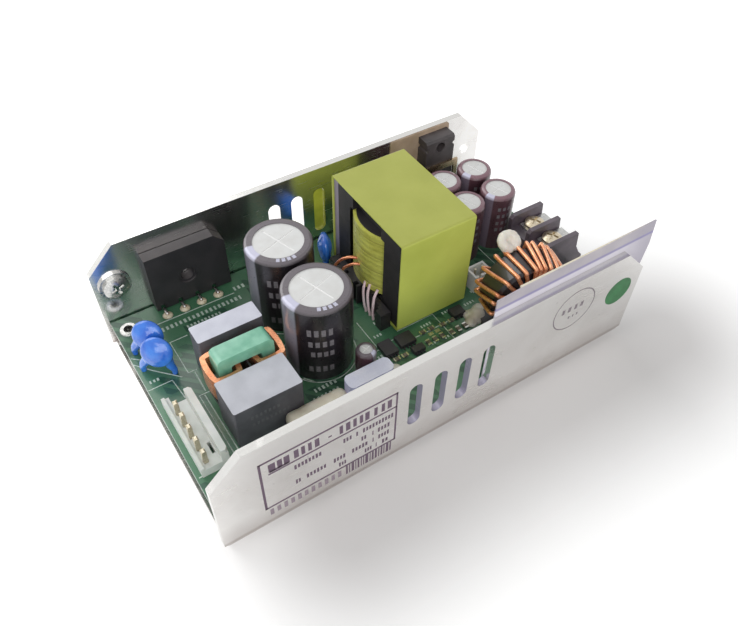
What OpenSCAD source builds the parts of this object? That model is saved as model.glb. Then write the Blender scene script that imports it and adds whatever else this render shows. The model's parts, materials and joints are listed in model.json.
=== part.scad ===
// Open frame power supply: a folded U bracket that carries one component board.
// X runs from the AC inlet end to the DC outlet end, Y from the label wall to the
// heatsink wall, Z up. The origin is the middle of the bracket's underside.

/* [Bracket] */
// Length of the bracket along X
bracket_l = 127; // [120:1:170]
// Width of the bracket over both walls
bracket_w = 74; // [72:1:110]
// Sheet thickness
sheet_t = 2; // [1.2:0.1:3]
// Outside radius of both folds
fold_r = 4; // [3.2:0.1:6]
// Height of the label wall
front_wall_h = 36; // [32:0.5:44]
// Height of the heatsink wall
rear_wall_h = 37; // [34:0.5:46]
// Corner chamfer of both walls
wall_chamfer = 8; // [2:0.5:12]
// How far the base is cut back from the ends of the walls
base_setback = 1; // [0.5:0.1:2]
// Width of one vent slot
slot_w = 3.7; // [2:0.1:5]
// Height of one vent slot
slot_h = 15.8; // [8:0.1:20]
// Distance from slot to slot
slot_pitch = 7.3; // [6:0.1:10]
// Height of the slots' middle above the underside
slot_z = 20.5; // [18:0.5:24]
// Radius of the two side holes in the heatsink wall
side_hole_r = 1.65; // [1.4:0.05:2.3]
// Radius of the chassis fixing holes in the base
fixing_hole_r = 1.65; // [1.2:0.05:2.2]
// Chassis fixing holes, hole to hole along X
fixing_pitch_x = 88.9; // [60:0.1:100]
// Chassis fixing holes, hole to hole along Y
fixing_pitch_y = 50.8; // [30:0.1:58]

/* [Board] */
// Thickness of the circuit board
board_t = 1.6; // [1:0.1:2.4]
// Height of the spacers under the board
spacer_h = 8; // [6:0.5:12]
// Gap between the board's long edges and the walls
board_gap = 0.5; // [0.4:0.1:1.5]
// How far the board's short edges sit inside the bracket
board_inset = 1; // [0.5:0.1:3]
// Distance of the spacers from the ends of the bracket
spacer_in = 4.4; // [4:0.1:8]

/* [Filter] */
// Length of an interference capacitor
x_cap_l = 18; // [13:0.5:18.5]
// Depth of the front interference capacitor
x_cap_front_w = 10.6; // [6:0.1:11]
// Depth of the rear interference capacitor
x_cap_rear_w = 6; // [4:0.1:7]
// Height of both interference capacitors
x_cap_h = 14; // [9:0.5:18]
// Outer width of the filter choke's square core
line_core_w = 15; // [12:0.5:15.5]
// Outer height of the filter choke's core
line_core_h = 15.2; // [12:0.2:18]
// Depth of the filter choke's core
line_core_d = 5; // [3.5:0.1:6]
// Turns on each leg of the filter choke
line_turns = 10; // [6:1:12]

/* [Storage capacitors] */
// Diameter of a storage capacitor
bulk_d = 18; // [14:0.5:19]
// Height of a storage capacitor
bulk_h = 25.4; // [16:0.5:32]
// Distance between the two storage capacitors
bulk_pitch = 19.4; // [19.2:0.1:22]

/* [Transformer] */
// Core length along Y
core_l = 32.6; // [28:0.1:34]
// Core depth along X
core_d = 22; // [18:0.1:24]
// Height of one core half
core_half_h = 15.15; // [12:0.05:18]
// Radius of the core's round centre leg
core_leg_r = 6.7; // [5:0.1:7.5]
// Radius of the core's winding window
core_window_r = 13.75; // [12:0.05:14]
// Thickness of the core's yoke
core_yoke_t = 4.6; // [3.5:0.1:6]
// Thickness of the outer tape wrap
tape_t = 0.35; // [0.1:0.05:0.6]

/* [Output] */
// Diameter of an output capacitor
out_cap_d = 10.3; // [6.5:0.1:10.5]
// Height of an output capacitor
out_cap_h = 19.2; // [12:0.2:24]
// Distance between output capacitors along X and Y
out_cap_pitch = 11.3; // [10.8:0.1:13]
// Outer radius of the output choke's ring core
ring_r = 10.7; // [8:0.1:10.8]
// Inner radius of the ring core
ring_hole_r = 5.2; // [4.5:0.1:5.5]
// Thickness of the ring core
ring_t = 8.8; // [6:0.1:9.5]
// Diameter of the choke wire
wire_d = 1.1; // [0.6:0.1:1.2]
// Turns round the ring core
ring_turns = 15; // [8:1:16]
// Distance between terminal barriers
terminal_pitch = 7.62; // [7:0.01:9.5]
// Number of terminal ways
terminal_ways = 2; // [2:1:2]

/* [Hidden] */
$fn = 48;
eps = 0.01;

// Heights
board_under = sheet_t + spacer_h;
board_top = board_under + board_t;
lead_z = board_under - 1.6;
lead_clear = 0.15;
seat = 0.05;

// Places are measured from the ends and walls that the pieces belong to
function from_ac(d) = -bracket_l / 2 + d;
function from_dc(d) = bracket_l / 2 - d;
function from_front(d) = -bracket_w / 2 + sheet_t + d;
function from_rear(d) = bracket_w / 2 - sheet_t - d;

board_l = bracket_l - 2 * board_inset;
board_w = bracket_w - 2 * (sheet_t + board_gap);

spacer_r = 2.4;
spacer_hole_r = 1.3;
spacer_tube_r = 1.9;
spacer_xs = [from_ac(spacer_in), from_dc(spacer_in)];
spacer_ys = [from_front(5.2), from_rear(5.2)];
spacer_places = [for (x = spacer_xs, y = spacer_ys) [x, y]];

side_hole_in = 5.6;
side_hole_z = 24;
slot_count = 4;
rear_slot_shift = [1.1, 1.6];

// Filter pieces
header_x = from_ac(6);
header_y = from_front(24.2);
header_l = 23.7;
header_w = 7.2;
header_floor_h = 2.6;
header_wall_h = 6.8;
header_pitch = 3.96;
header_pins = 5;
header_pin_w = 1.14;
header_pin_x = header_x - 1.5;
header_last = header_y + header_l / 2 - 5.7;
x_front_place = [from_ac(22.3), from_front(20.1)];
x_rear_place = [from_ac(24), from_front(41.4)];
x_lead_pitch = 15;
x_lead_r = 0.4;
line_choke_place = [from_ac(23.4), from_front(31)];
line_leg_w = 3.4;
line_wire_t = 0.75;
line_wire_w = 1.4;
line_base_h = 1.3;
line_coil_gap = 1.15;
y_disc_r = 4.2;
y_disc_t = 3.6;
y_lead_half = 4.1;
y_turn = -38;
y_rise = 8;
y_lean = 0.8;
y_leg_r = 0.9;
y_line_place = [from_ac(6.2), from_front(53.4)];
y_neutral_place = [from_ac(6), from_front(47)];
y_bridge_place = [-0.2, from_rear(10.1)];
fuse_r = 2.55;
fuse_l = 12.6;
fuse_rise = 0.8;
fuse_place = [from_ac(33.4), from_front(12)];
fuse_cap_l = 2.6;

// Bridge on the heatsink wall
bridge_w = 22.3;
bridge_h = 18.9;
bridge_t = 3.5;
bridge_x = from_ac(24.7);
bridge_y = from_rear(0.15 + bridge_t / 2);
bridge_z = board_top + 0.5;
bridge_lead_x = bridge_x - 1.7;
bridge_lead_y = bridge_y - 4.8;
bridge_lead_pitch = 5.08;
bridge_hole_r = 1.9;

// Storage capacitors
bulk_x = from_ac(44.3);
bulk_mid_y = from_front(40);
bulk_places = [[bulk_x, bulk_mid_y + bulk_pitch / 2], [bulk_x, bulk_mid_y - bulk_pitch / 2]];
bulk_lead_half = 3.75;
supply_place = [from_ac(50.3), from_front(17)];
supply_d = 5.4;
supply_h = 11.6;
snub_place = [from_ac(47.8), from_front(11.6)];
snub_l = 13;
snub_w = 4.4;
snub_h = 9.6;

// Transformer
tr_x = 13.4;
tr_y = from_front(41.4);
tr_core_z = board_top + 1.4;
core_h = 2 * core_half_h;
flange_t = 1;
winding_r = core_window_r - 0.85;
flange_r = winding_r - 0.9;
tube_r = core_leg_r + 1;
rail_gap = 0.3;
rail_w = 3.2;
rail_l = 27;
tr_pin_pitch = 5.08;
tr_pins_side = 6;
tr_pin_r = 0.4;
tr_rail_x = core_d / 2 + rail_gap + rail_w / 2 + 0.3;
win_low = tr_core_z + core_yoke_t;
win_high = tr_core_z + core_h - core_yoke_t;

// Output pieces
out_mid = [from_dc(20.6), from_front(47.8)];
out_half = out_cap_pitch / 2;
out_places = [for (i = [-1, 1], j = [-1, 1]) out_mid + [i * out_half, j * out_half]];
out_lead_half = 2.5;
pack_w = 10.4;
pack_h = 15.9;
pack_t = 4.5;
pack_x = from_dc(19.1);
pack_z = board_top + 7.8;
pad_t = 0.3;
pad_l = 21.5;
pad_h = 19;
pack_y = from_rear(pad_t + pack_t / 2);
ring_place = [from_dc(30.8), from_front(11.3)];
ring_yaw = -15;
ring_base_h = 1.5;
ring_z = board_top + ring_base_h + ring_r + wire_d + 0.15;
terminal_l = 15.7;
terminal_fin_l = 11.7;
terminal_fin_t = 1.4;
terminal_h = 14.7;
terminal_deck_h = 10.4;
terminal_lip_h = 4.6;
terminal_tooth = terminal_l - terminal_fin_l;
terminal_x = from_dc(0);
terminal_y = from_front(26.6);
terminal_w = terminal_ways * terminal_pitch + terminal_fin_t;
screw_x = terminal_x - 9.5;
clamp_end = terminal_x - terminal_tooth + 0.85;
remote_place = [from_dc(31), from_front(28.2)];

// ---------- shared forms ----------

module rounded(l, w, r) {
  square([l - 2 * r, w], center = true);
  square([l, w - 2 * r], center = true);
  for (i = [-1, 1], j = [-1, 1]) translate([i * (l / 2 - r), j * (w / 2 - r)]) circle(r);
}

module slot_profile(w, h) {
  square([w, h - w], center = true);
  for (j = [-1, 1]) translate([0, j * (h - w) / 2]) circle(d = w);
}

// Solid tube that follows a list of points, with a turned section of n sides
function unit(v) = v / norm(v);
function along(p, i) = unit(p[min(i + 1, len(p) - 1)] - p[max(i - 1, 0)]);
function side_of(t, up) = unit(cross(t, abs(t * up) > 0.95 ? [1, 0, 0.2] : up));
function ring_at(p, i, r, n, up) =
  let (t = along(p, i), a = side_of(t, up), b = cross(t, a))
  [for (k = [0 : n - 1]) p[i] + r * cos(360 * k / n) * a + r * sin(360 * k / n) * b];
module sweep(sections) {
  n = len(sections[0]);
  m = len(sections);
  points = [for (s = sections) each s];
  walls = [for (i = [0 : m - 2], k = [0 : n - 1])
    let (a = i * n + k, b = i * n + (k + 1) % n) each [[a, b + n, b], [a, a + n, b + n]]];
  start = [for (k = [1 : n - 2]) [0, k, k + 1]];
  last = (m - 1) * n;
  finish = [for (k = [1 : n - 2]) [last, last + k + 1, last + k]];
  polyhedron(points, concat(walls, start, finish));
}
module wire(p, r, n = 8, up = [0, 0, 1]) {
  sweep([for (i = [0 : len(p) - 1]) ring_at(p, i, r, n, up)]);
}

module lead(x, y, r, top = board_top) {
  translate([x, y, lead_z]) cylinder(h = top - lead_z, r = r);
}

// Every lead that passes through the board: place and radius
lead_holes = concat(
  [for (i = [0 : header_pins - 1]) [header_pin_x, header_last - i * header_pitch, 0.85]],
  [for (p = [x_front_place, x_rear_place], i = [-1, 1]) [p.x + i * x_lead_pitch / 2, p.y, x_lead_r]],
  [for (i = [-1.5 : 1.5]) [bridge_lead_x + i * bridge_lead_pitch, bridge_lead_y, 0.5]],
  [for (p = bulk_places, i = [-1, 1]) [p.x, p.y + i * bulk_lead_half, 0.5]],
  [for (p = out_places, i = [-1, 1]) [p.x, p.y + i * out_lead_half, 0.3]],
  [for (i = [-1, 1], k = [0 : tr_pins_side - 1])
    [tr_x + i * tr_rail_x, tr_y + (k - (tr_pins_side - 1) / 2) * tr_pin_pitch, tr_pin_r]],
  [for (i = [0 : terminal_ways - 1]) [terminal_x - 7, way_y(i), 0.7]]
);

// ---------- bracket and board ----------

// Section across the bracket: two walls and a base joined by round folds
module channel_profile(w, r, h_front, h_rear) {
  translate([-w / 2 + r, 0]) square([w - 2 * r, sheet_t]);
  translate([-w / 2, r]) square([sheet_t, h_front - r]);
  translate([w / 2 - sheet_t, r]) square([sheet_t, h_rear - r]);
  for (s = [-1, 1]) translate([s * (w / 2 - r), r]) intersection() {
    difference() {
      circle(r);
      circle(r - sheet_t);
    }
    translate([s > 0 ? 0 : -r, -r]) square([r, r]);
  }
}

module wall_corner_cuts(y, h) {
  for (s = [-1, 1]) translate([s * bracket_l / 2, y, h]) rotate([0, 45, 0])
    cube([wall_chamfer * sqrt(2), 4 * sheet_t, wall_chamfer * sqrt(2)], center = true);
}

module bracket() {
  color("gainsboro") difference() {
    translate([-bracket_l / 2, 0, 0]) rotate([90, 0, 90]) linear_extrude(bracket_l)
      channel_profile(bracket_w, fold_r, front_wall_h, rear_wall_h);
    wall_corner_cuts(-bracket_w / 2, front_wall_h);
    wall_corner_cuts(bracket_w / 2, rear_wall_h);
    for (s = [-1, 1]) translate([s * bracket_l / 2, 0, 0])
      cube([2 * base_setback, bracket_w + 2, 2 * fold_r - 1], center = true);
    for (i = [0 : slot_count - 1], s = [-1, 1]) let (shift = s > 0 ? rear_slot_shift : [0, 0])
      translate([(i - 1.5) * slot_pitch - 0.5 + shift.x, s * (bracket_w / 2 - sheet_t / 2), slot_z + shift.y])
        rotate([90, 0, 0]) linear_extrude(2 * sheet_t, center = true) slot_profile(slot_w, slot_h);
    for (x = [from_ac(side_hole_in), from_dc(side_hole_in)])
      translate([x, bracket_w / 2 - sheet_t - 1, side_hole_z]) rotate([-90, 0, 0])
        cylinder(h = sheet_t + 2, r = side_hole_r);
    for (i = [-1, 1], j = [-1, 1])
      translate([i * fixing_pitch_x / 2, j * fixing_pitch_y / 2, -1])
        cylinder(h = sheet_t + 2, r = fixing_hole_r);
    for (p = spacer_places) translate([p.x, p.y, 0]) {
      translate([0, 0, -eps]) cylinder(h = sheet_t + 1, r = 1.65);
      translate([0, 0, -eps]) cylinder(h = 1.5 + eps, r1 = 3.1, r2 = 1.65);
    }
  }
}

module base_insulator() {
  margin = fold_r + 1;
  color("whitesmoke") translate([0, 0, sheet_t]) linear_extrude(0.25) difference() {
    square([bracket_l - 4 * base_setback, bracket_w - 2 * margin], center = true);
    for (p = spacer_places) translate(p) square(2 * spacer_r + 1.4, center = true);
    for (i = [-1, 1], j = [-1, 1])
      translate([i * fixing_pitch_x / 2, j * fixing_pitch_y / 2]) circle(fixing_hole_r + 1);
  }
}

module board() {
  color("darkgreen") translate([0, 0, board_under]) linear_extrude(board_t) difference() {
    square([board_l, board_w], center = true);
    for (p = spacer_places) translate(p) circle(spacer_tube_r + 0.1);
    for (h = lead_holes) translate([h.x, h.y]) circle(h[2] + lead_clear);
  }
}

module board_spacers() {
  color("silver") for (p = spacer_places) translate([p.x, p.y, sheet_t]) rotate_extrude() polygon([
    [spacer_hole_r, 0], [spacer_r, 0], [spacer_r, spacer_h], [spacer_tube_r, spacer_h],
    [spacer_tube_r, spacer_h + board_t], [spacer_r, spacer_h + board_t],
    [spacer_r - 0.2, spacer_h + board_t + 0.35], [spacer_hole_r, spacer_h + board_t + 0.35]
  ]);
}

module base_screws() {
  color("silver") for (p = spacer_places) translate([p.x, p.y, 0]) difference() {
    union() {
      translate([0, 0, 0.05]) cylinder(h = 1.4, r1 = 2.95, r2 = 1.55);
      translate([0, 0, 1.4]) cylinder(h = 6, r = 1.2);
    }
    for (a = [0, 90]) rotate(a) cube([0.6, 3.2, 1.4], center = true);
  }
}

// Insulating sheet that stands inside the label wall and past its end
module wall_film() {
  left = 12;
  step = 6.8;
  right = bracket_l / 2 + 2;
  foot = board_top - 5;
  top = front_wall_h + 6;
  notch = bracket_l / 2 - 0.6;
  color("lavender", 0.6) translate([0, from_front(0.4), 0]) rotate([90, 0, 0]) linear_extrude(0.35)
    polygon([
      [left, foot], [notch, foot], [notch, front_wall_h - 10], [right - 0.6, front_wall_h - 9],
      [right, front_wall_h - 2], [right - 0.8, top + 0.4], [left + step, top + 0.9],
      [left + step, top], [left, top - 0.4]
    ]);
}

module earth_screw() {
  washer_r = 4.3;
  head_r = 3.4;
  color("silver") translate([from_ac(side_hole_in), from_rear(0), side_hole_z]) rotate([90, 0, 0])
    difference() {
      union() {
        translate([0, 0, -sheet_t]) cylinder(h = sheet_t + 0.5, r = side_hole_r - 0.1);
        cylinder(h = 0.8, r = washer_r);
        translate([0, 0, 0.8]) intersection() {
          cylinder(h = 1.5, r = head_r);
          translate([0, 0, -6.6]) sphere(8.2);
        }
      }
      for (a = [20, 110]) rotate(a) translate([0, 0, 2.4]) cube([0.8, 3.8, 1.6], center = true);
    }
}

// ---------- AC inlet and filter ----------

module inlet_header() {
  wall_t = 1.8;
  step = 2.7;
  low_l = header_l / 2;
  slit_x = header_w / 2 - wall_t - 1.1;
  color("ivory") translate([header_x, header_y, board_top]) difference() {
    union() {
      translate([-header_w / 2, -low_l, 0]) cube([header_w, header_l - step, header_floor_h]);
      translate([-header_w / 2, -low_l, 0]) cube([1.9, header_l, header_floor_h]);
      translate([header_w / 2 - wall_t, -low_l, 0]) cube([wall_t, header_l - step, header_wall_h]);
      translate([-header_w / 2, -low_l, 0]) cube([0.9, header_l, header_floor_h + 0.7]);
    }
    for (i = [0 : header_pins - 1])
      translate([header_pin_x - header_x, header_last - header_y - i * header_pitch, 1])
        cube([header_pin_w + 0.1, header_pin_w + 0.1, 4], center = true);
    translate([slit_x, 3.2 - low_l, -1]) cube([0.8, 3.4, header_floor_h + 2]);
    for (d = [0, header_l - step]) translate([header_w / 2, d - low_l, header_wall_h]) rotate([0, 0, 45])
      cube([0.9, 0.9, 3], center = true);
  }
}

module inlet_pins() {
  top = 7.2;
  color("burlywood") for (i = [0 : header_pins - 1])
    translate([header_pin_x, header_last - i * header_pitch, lead_z])
      translate([-header_pin_w / 2, -header_pin_w / 2, 0]) difference() {
        cube([header_pin_w, header_pin_w, board_top - lead_z + top]);
        for (a = [0, 1]) translate([a * header_pin_w, -1, board_top - lead_z + top])
          rotate([0, 45, 0]) cube([0.45, 4, 0.45], center = true);
      }
}

module fuse_tube() {
  color("cornsilk") translate([fuse_place.x, fuse_place.y, board_top + fuse_r + fuse_rise])
    rotate([0, 90, 0]) cylinder(h = fuse_l - 2 * fuse_cap_l + 0.8, r = fuse_r - 0.2, center = true);
}

module fuse_caps() {
  color("silver") for (s = [-1, 1])
    translate([fuse_place.x + s * fuse_l / 2, fuse_place.y, board_top + fuse_r + fuse_rise])
      rotate([0, -s * 90, 0]) difference() {
        union() {
          cylinder(h = fuse_cap_l, r = fuse_r);
          translate([0, 0, -1]) cylinder(h = 1.2, r = 0.9);
        }
        translate([0, 0, fuse_cap_l - 0.5]) cylinder(h = 1, r = fuse_r - 0.15);
      }
  color("silver") for (s = [-1, 1])
    translate([fuse_place.x + s * (fuse_l / 2 + 0.7), fuse_place.y, board_top])
      cylinder(h = fuse_r + fuse_rise, r = 0.45);
}

module film_box(place, l, w, h, r = 0.5) {
  translate([place.x, place.y, board_top]) difference() {
    linear_extrude(h) rounded(l, w, r);
    translate([0, 0, -1]) linear_extrude(1.5) square([l - 1.6, w + 2], center = true);
  }
}

module x_cap_rear() {
  color("lightgray") film_box(x_rear_place, x_cap_l - 0.4, x_cap_rear_w, x_cap_h);
}

module x_cap_front() {
  color("lightgray") film_box(x_front_place, x_cap_l, x_cap_front_w, x_cap_h);
}

module x_cap_leads() {
  color("silver") for (p = [x_front_place, x_rear_place], i = [-1, 1])
    lead(p.x + i * x_lead_pitch / 2, p.y, x_lead_r, board_top + 0.5);
}

// Square ring of coated ferrite that stands upright on its plinth
module line_choke_core() {
  z = board_top + line_base_h + line_core_h / 2;
  color("mediumaquamarine") translate([line_choke_place.x, line_choke_place.y, z])
    rotate([90, 0, 0]) linear_extrude(line_core_d, center = true) difference() {
      rounded(line_core_w, line_core_h, 1.5);
      rounded(line_core_w - 2 * line_leg_w, line_core_h - 2 * line_leg_w, 0.8);
    }
}

// Edge-wound coil: flat wire wound round one upright leg of the core
module edge_coil(side) {
  steps = 24;
  half_x = line_leg_w / 2 + line_coil_gap;
  half_y = line_core_d / 2 + line_coil_gap;
  bottom = board_top + line_base_h + line_leg_w + 0.06;
  room = line_core_h - 2 * line_leg_w - 0.3 - line_wire_t;
  pitch = room / line_turns;
  leg_x = line_choke_place.x + side * (line_core_w - line_leg_w) / 2;
  centre = [leg_x, line_choke_place.y, bottom];
  thick = min(line_wire_t, pitch - 0.08);
  function edge(a, g) = [
    (half_x - 0.9) * sign(cos(a)) * min(1, abs(cos(a)) * 1.6) + (0.9 + g) * cos(a),
    (half_y - 0.9) * sign(sin(a)) * min(1, abs(sin(a)) * 1.6) + (0.9 + g) * sin(a)
  ];
  sweep([for (i = [0 : steps * line_turns])
    let (
      a = 360 * i / steps + (side > 0 ? 110 : 290),
      z = pitch * i / steps,
      inner = edge(side * a, 0),
      outer = edge(side * a, min(line_wire_w, (line_core_w / 2 - line_leg_w) - line_coil_gap - 0.3)),
      ring = [
        centre + [inner.x, inner.y, z], centre + [inner.x, inner.y, z + thick],
        centre + [outer.x, outer.y, z + thick], centre + [outer.x, outer.y, z]
      ]
    )
    side > 0 ? [for (k = [3 : -1 : 0]) ring[k]] : ring]);
}

module line_choke_coil_line() {
  color("sandybrown") edge_coil(-1);
}

module line_choke_coil_neutral() {
  color("sandybrown") edge_coil(1);
}

module line_choke_base() {
  color([0.08, 0.08, 0.08]) translate([line_choke_place.x, line_choke_place.y, board_top]) {
    linear_extrude(line_base_h) rounded(line_core_w + 3.4, line_core_d + 5, 1);
    translate([0, 0, line_base_h + line_leg_w + 0.6])
      linear_extrude(line_core_h - 2 * line_leg_w - 1.2)
        square([0.5, line_core_d + 3.6], center = true);
    for (s = [-1, 1]) translate([0, s * (line_core_d / 2 + 1.1), 0])
      linear_extrude(line_base_h + line_leg_w + 0.7) square([0.5, 1.5], center = true);
  }
}

// Coated disc capacitor with two splayed legs
module disc_cap(place, turn, half = y_lead_half, rise = y_rise, lean = y_lean) {
  foot = [[half, 0, -rise], [half, 0, -rise + 1.6], [half - 0.7, 0, -rise + 3.2]];
  function leg(s) = [for (p = foot) [s * p.x, 0, p.z], [s * 1.9 + lean, 0, -1.8]];
  color("dodgerblue") translate([place.x, place.y, board_top + rise]) rotate(turn) union() {
    translate([lean, 0, 0]) rotate([90, 0, 0]) rotate_extrude() intersection() {
      translate([0, -y_disc_t / 2]) square([y_disc_r, y_disc_t]);
      union() {
        translate([y_disc_r - y_disc_t / 2, 0]) circle(y_disc_t / 2);
        translate([0, -y_disc_t / 2]) square([y_disc_r - y_disc_t / 2, y_disc_t]);
      }
    }
    for (s = [-1, 1]) wire(leg(s), y_leg_r, 8, [0, 1, 0]);
  }
}

module y_cap_line() disc_cap(y_line_place, y_turn);

module y_cap_neutral() disc_cap(y_neutral_place, y_turn);

module y_cap_bridge() disc_cap(y_bridge_place, 66, 3, 6.6, -0.6);

// ---------- bridge on the heatsink wall ----------

module bridge_rectifier() {
  cut = 2.9;
  half = bridge_w / 2;
  color([0.1, 0.1, 0.1]) translate([bridge_x, bridge_y, bridge_z]) rotate([90, 0, 0]) difference() {
    linear_extrude(bridge_t, center = true) polygon([
      [-half, 0], [half, 0], [half, bridge_h - cut], [half - cut, bridge_h], [-half, bridge_h]
    ]);
    translate([-0.6, bridge_h / 2 - 0.6, 0]) cylinder(h = bridge_t + 1, r = bridge_hole_r, center = true);
    translate([-0.6, bridge_h / 2 - 0.6, bridge_t / 2 - 0.5]) cylinder(h = 1, r = bridge_hole_r + 0.7);
    for (i = [-1.5 : 1.5]) translate([bridge_lead_x - bridge_x + i * bridge_lead_pitch, 0.7, 1])
      cube([1.3, 2, bridge_t], center = true);
  }
}

module bridge_leads() {
  w = 0.9;
  reach = bridge_y - bridge_lead_y;
  color("silver") for (i = [-1.5 : 1.5])
    translate([bridge_lead_x + i * bridge_lead_pitch, bridge_lead_y, 0]) {
      translate([-w / 2, -0.25, lead_z]) cube([w, 0.5, board_top - lead_z + 0.1]);
      translate([-w / 2, -0.25, board_top + 0.1]) cube([w, reach, 0.5]);
      translate([-w / 2, reach - 0.75, board_top + 0.1]) cube([w, 0.5, 1.6]);
    }
}

// ---------- storage capacitors ----------

// Aluminium can with a rolled bead near its foot and a scored lid
module can(place, d, h, skin) {
  r = d / 2 - skin - seat;
  bead = 0.35;
  bead_z = 2.6;
  shoulder = 1.2;
  score = d > 12 ? 0.5 : 0.35;
  translate([place.x, place.y, board_top]) difference() {
    rotate_extrude() difference() {
      union() {
        square([r, h - skin - shoulder]);
        square([r - shoulder, h - skin]);
        translate([r - shoulder, h - skin - shoulder]) circle(shoulder);
      }
      translate([r + 0.2, bead_z]) circle(bead + 0.2);
      translate([-r, -r]) square([2 * r, r]);
    }
    for (a = [18, 108]) translate([0, 0, h - skin]) rotate(a)
      cube([score, d * 0.62, 0.3], center = true);
  }
}

// Shrunk sleeve with its curled lip over the can
module sleeve(place, d, h, lip) {
  skin = 0.25;
  translate([place.x, place.y, board_top]) rotate_extrude() polygon([
    [d / 2 - skin, 0], [d / 2, 0], [d / 2, h - 0.9], [d / 2 - 0.3, h - 0.3], [d / 2 - 0.9, h],
    [d / 2 - lip, h], [d / 2 - lip, h - skin + seat], [d / 2 - 0.95, h - skin + seat],
    [d / 2 - 0.25, h - 0.8]
  ]);
}

module bulk_can_rear() {
  color("lightgray") can(bulk_places[0], bulk_d, bulk_h, 0.25);
}

module bulk_sleeve_rear() {
  color([0.16, 0.13, 0.15]) sleeve(bulk_places[0], bulk_d, bulk_h, 2.3);
}

module bulk_can_front() {
  color("lightgray") can(bulk_places[1], bulk_d, bulk_h, 0.25);
}

module bulk_sleeve_front() {
  color([0.16, 0.13, 0.15]) sleeve(bulk_places[1], bulk_d, bulk_h, 2.3);
}

module bulk_leads() {
  color("silver") for (p = bulk_places, i = [-1, 1]) lead(p.x, p.y + i * bulk_lead_half, 0.5);
}

module supply_can() {
  color("lightgray") can(supply_place, supply_d, supply_h, 0.25);
}

module supply_sleeve() {
  color([0.3, 0.2, 0.22]) sleeve(supply_place, supply_d, supply_h, 1);
}

module snubber_cap() {
  color("lightsteelblue") film_box(snub_place, snub_l, snub_w, snub_h, 1.5);
}

// ---------- transformer ----------

// One core half: yoke, round centre leg and two outer legs with a round window
module core_half() {
  waist = core_d - 3.6;
  linear_extrude(core_yoke_t) difference() {
    square([core_d, core_l], center = true);
    for (s = [-1, 1]) translate([s * (core_d + waist) / 4 + s * 0.6, 0])
      square([(core_d - waist) / 2 + 1.2, 2 * core_leg_r], center = true);
  }
  translate([0, 0, core_yoke_t - eps]) linear_extrude(core_half_h - core_yoke_t + eps) {
    circle(core_leg_r);
    difference() {
      square([core_d, core_l], center = true);
      circle(core_window_r);
    }
  }
}

module core_upper() {
  color([0.25, 0.25, 0.27]) translate([tr_x, tr_y, tr_core_z + core_h]) mirror([0, 0, 1]) core_half();
}

module core_lower() {
  color([0.25, 0.25, 0.27]) translate([tr_x, tr_y, tr_core_z]) core_half();
}

module transformer_bobbin() {
  inner = core_leg_r + 0.2;
  color([0.09, 0.09, 0.09]) translate([tr_x, tr_y, 0]) {
    translate([0, 0, win_low + seat]) difference() {
      union() {
        cylinder(h = flange_t, r = flange_r);
        cylinder(h = win_high - win_low - 2 * seat, r = tube_r);
        translate([0, 0, win_high - win_low - 2 * seat - flange_t]) cylinder(h = flange_t, r = flange_r);
      }
      translate([0, 0, -1]) cylinder(h = core_h, r = inner);
    }
    for (s = [-1, 1]) translate([s * tr_rail_x, 0, board_top]) difference() {
      union() {
        translate([-rail_w / 2, -rail_l / 2, 0]) cube([rail_w, rail_l, win_low + seat - board_top]);
        translate([-rail_w / 2 - (s > 0 ? 1.2 : 0), -6, win_low + seat - board_top - eps])
          cube([rail_w + 1.2, 12, flange_t + eps]);
      }
      for (k = [0 : tr_pins_side - 2])
        translate([s * rail_w / 2, (k - (tr_pins_side - 2) / 2) * tr_pin_pitch, 3.2])
          cube([2.4, 1.3, 8], center = true);
      if (s < 0) translate([-rail_w / 2 - 1, -9.8, -1]) cube([2.9, 8.4, win_low]);
    }
  }
}

module transformer_winding() {
  low = win_low + seat + flange_t;
  room = win_high - win_low - 2 * seat - 2 * flange_t;
  color("yellowgreen") translate([tr_x, tr_y, low]) difference() {
    cylinder(h = room + flange_t - 0.25, r = winding_r);
    translate([0, 0, -1]) cylinder(h = core_h, r = tube_r + seat);
    translate([0, 0, room]) cylinder(h = 2 * flange_t, r = flange_r + seat);
  }
}

// Tape wrapped round the outside of both core halves
module transformer_tape() {
  gap = seat;
  color("yellowgreen") translate([tr_x, tr_y, tr_core_z + core_h / 2]) rotate([90, 0, 90])
    linear_extrude(core_d + 1, center = true) difference() {
      rounded(core_l + 2 * (gap + tape_t), core_h + 2 * (gap + tape_t), 0.7);
      square([core_l + 2 * gap, core_h + 2 * gap], center = true);
    }
}

module transformer_pins() {
  color("silver") for (i = [-1, 1], k = [0 : tr_pins_side - 1])
    lead(tr_x + i * tr_rail_x, tr_y + (k - (tr_pins_side - 1) / 2) * tr_pin_pitch, tr_pin_r);
}

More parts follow.
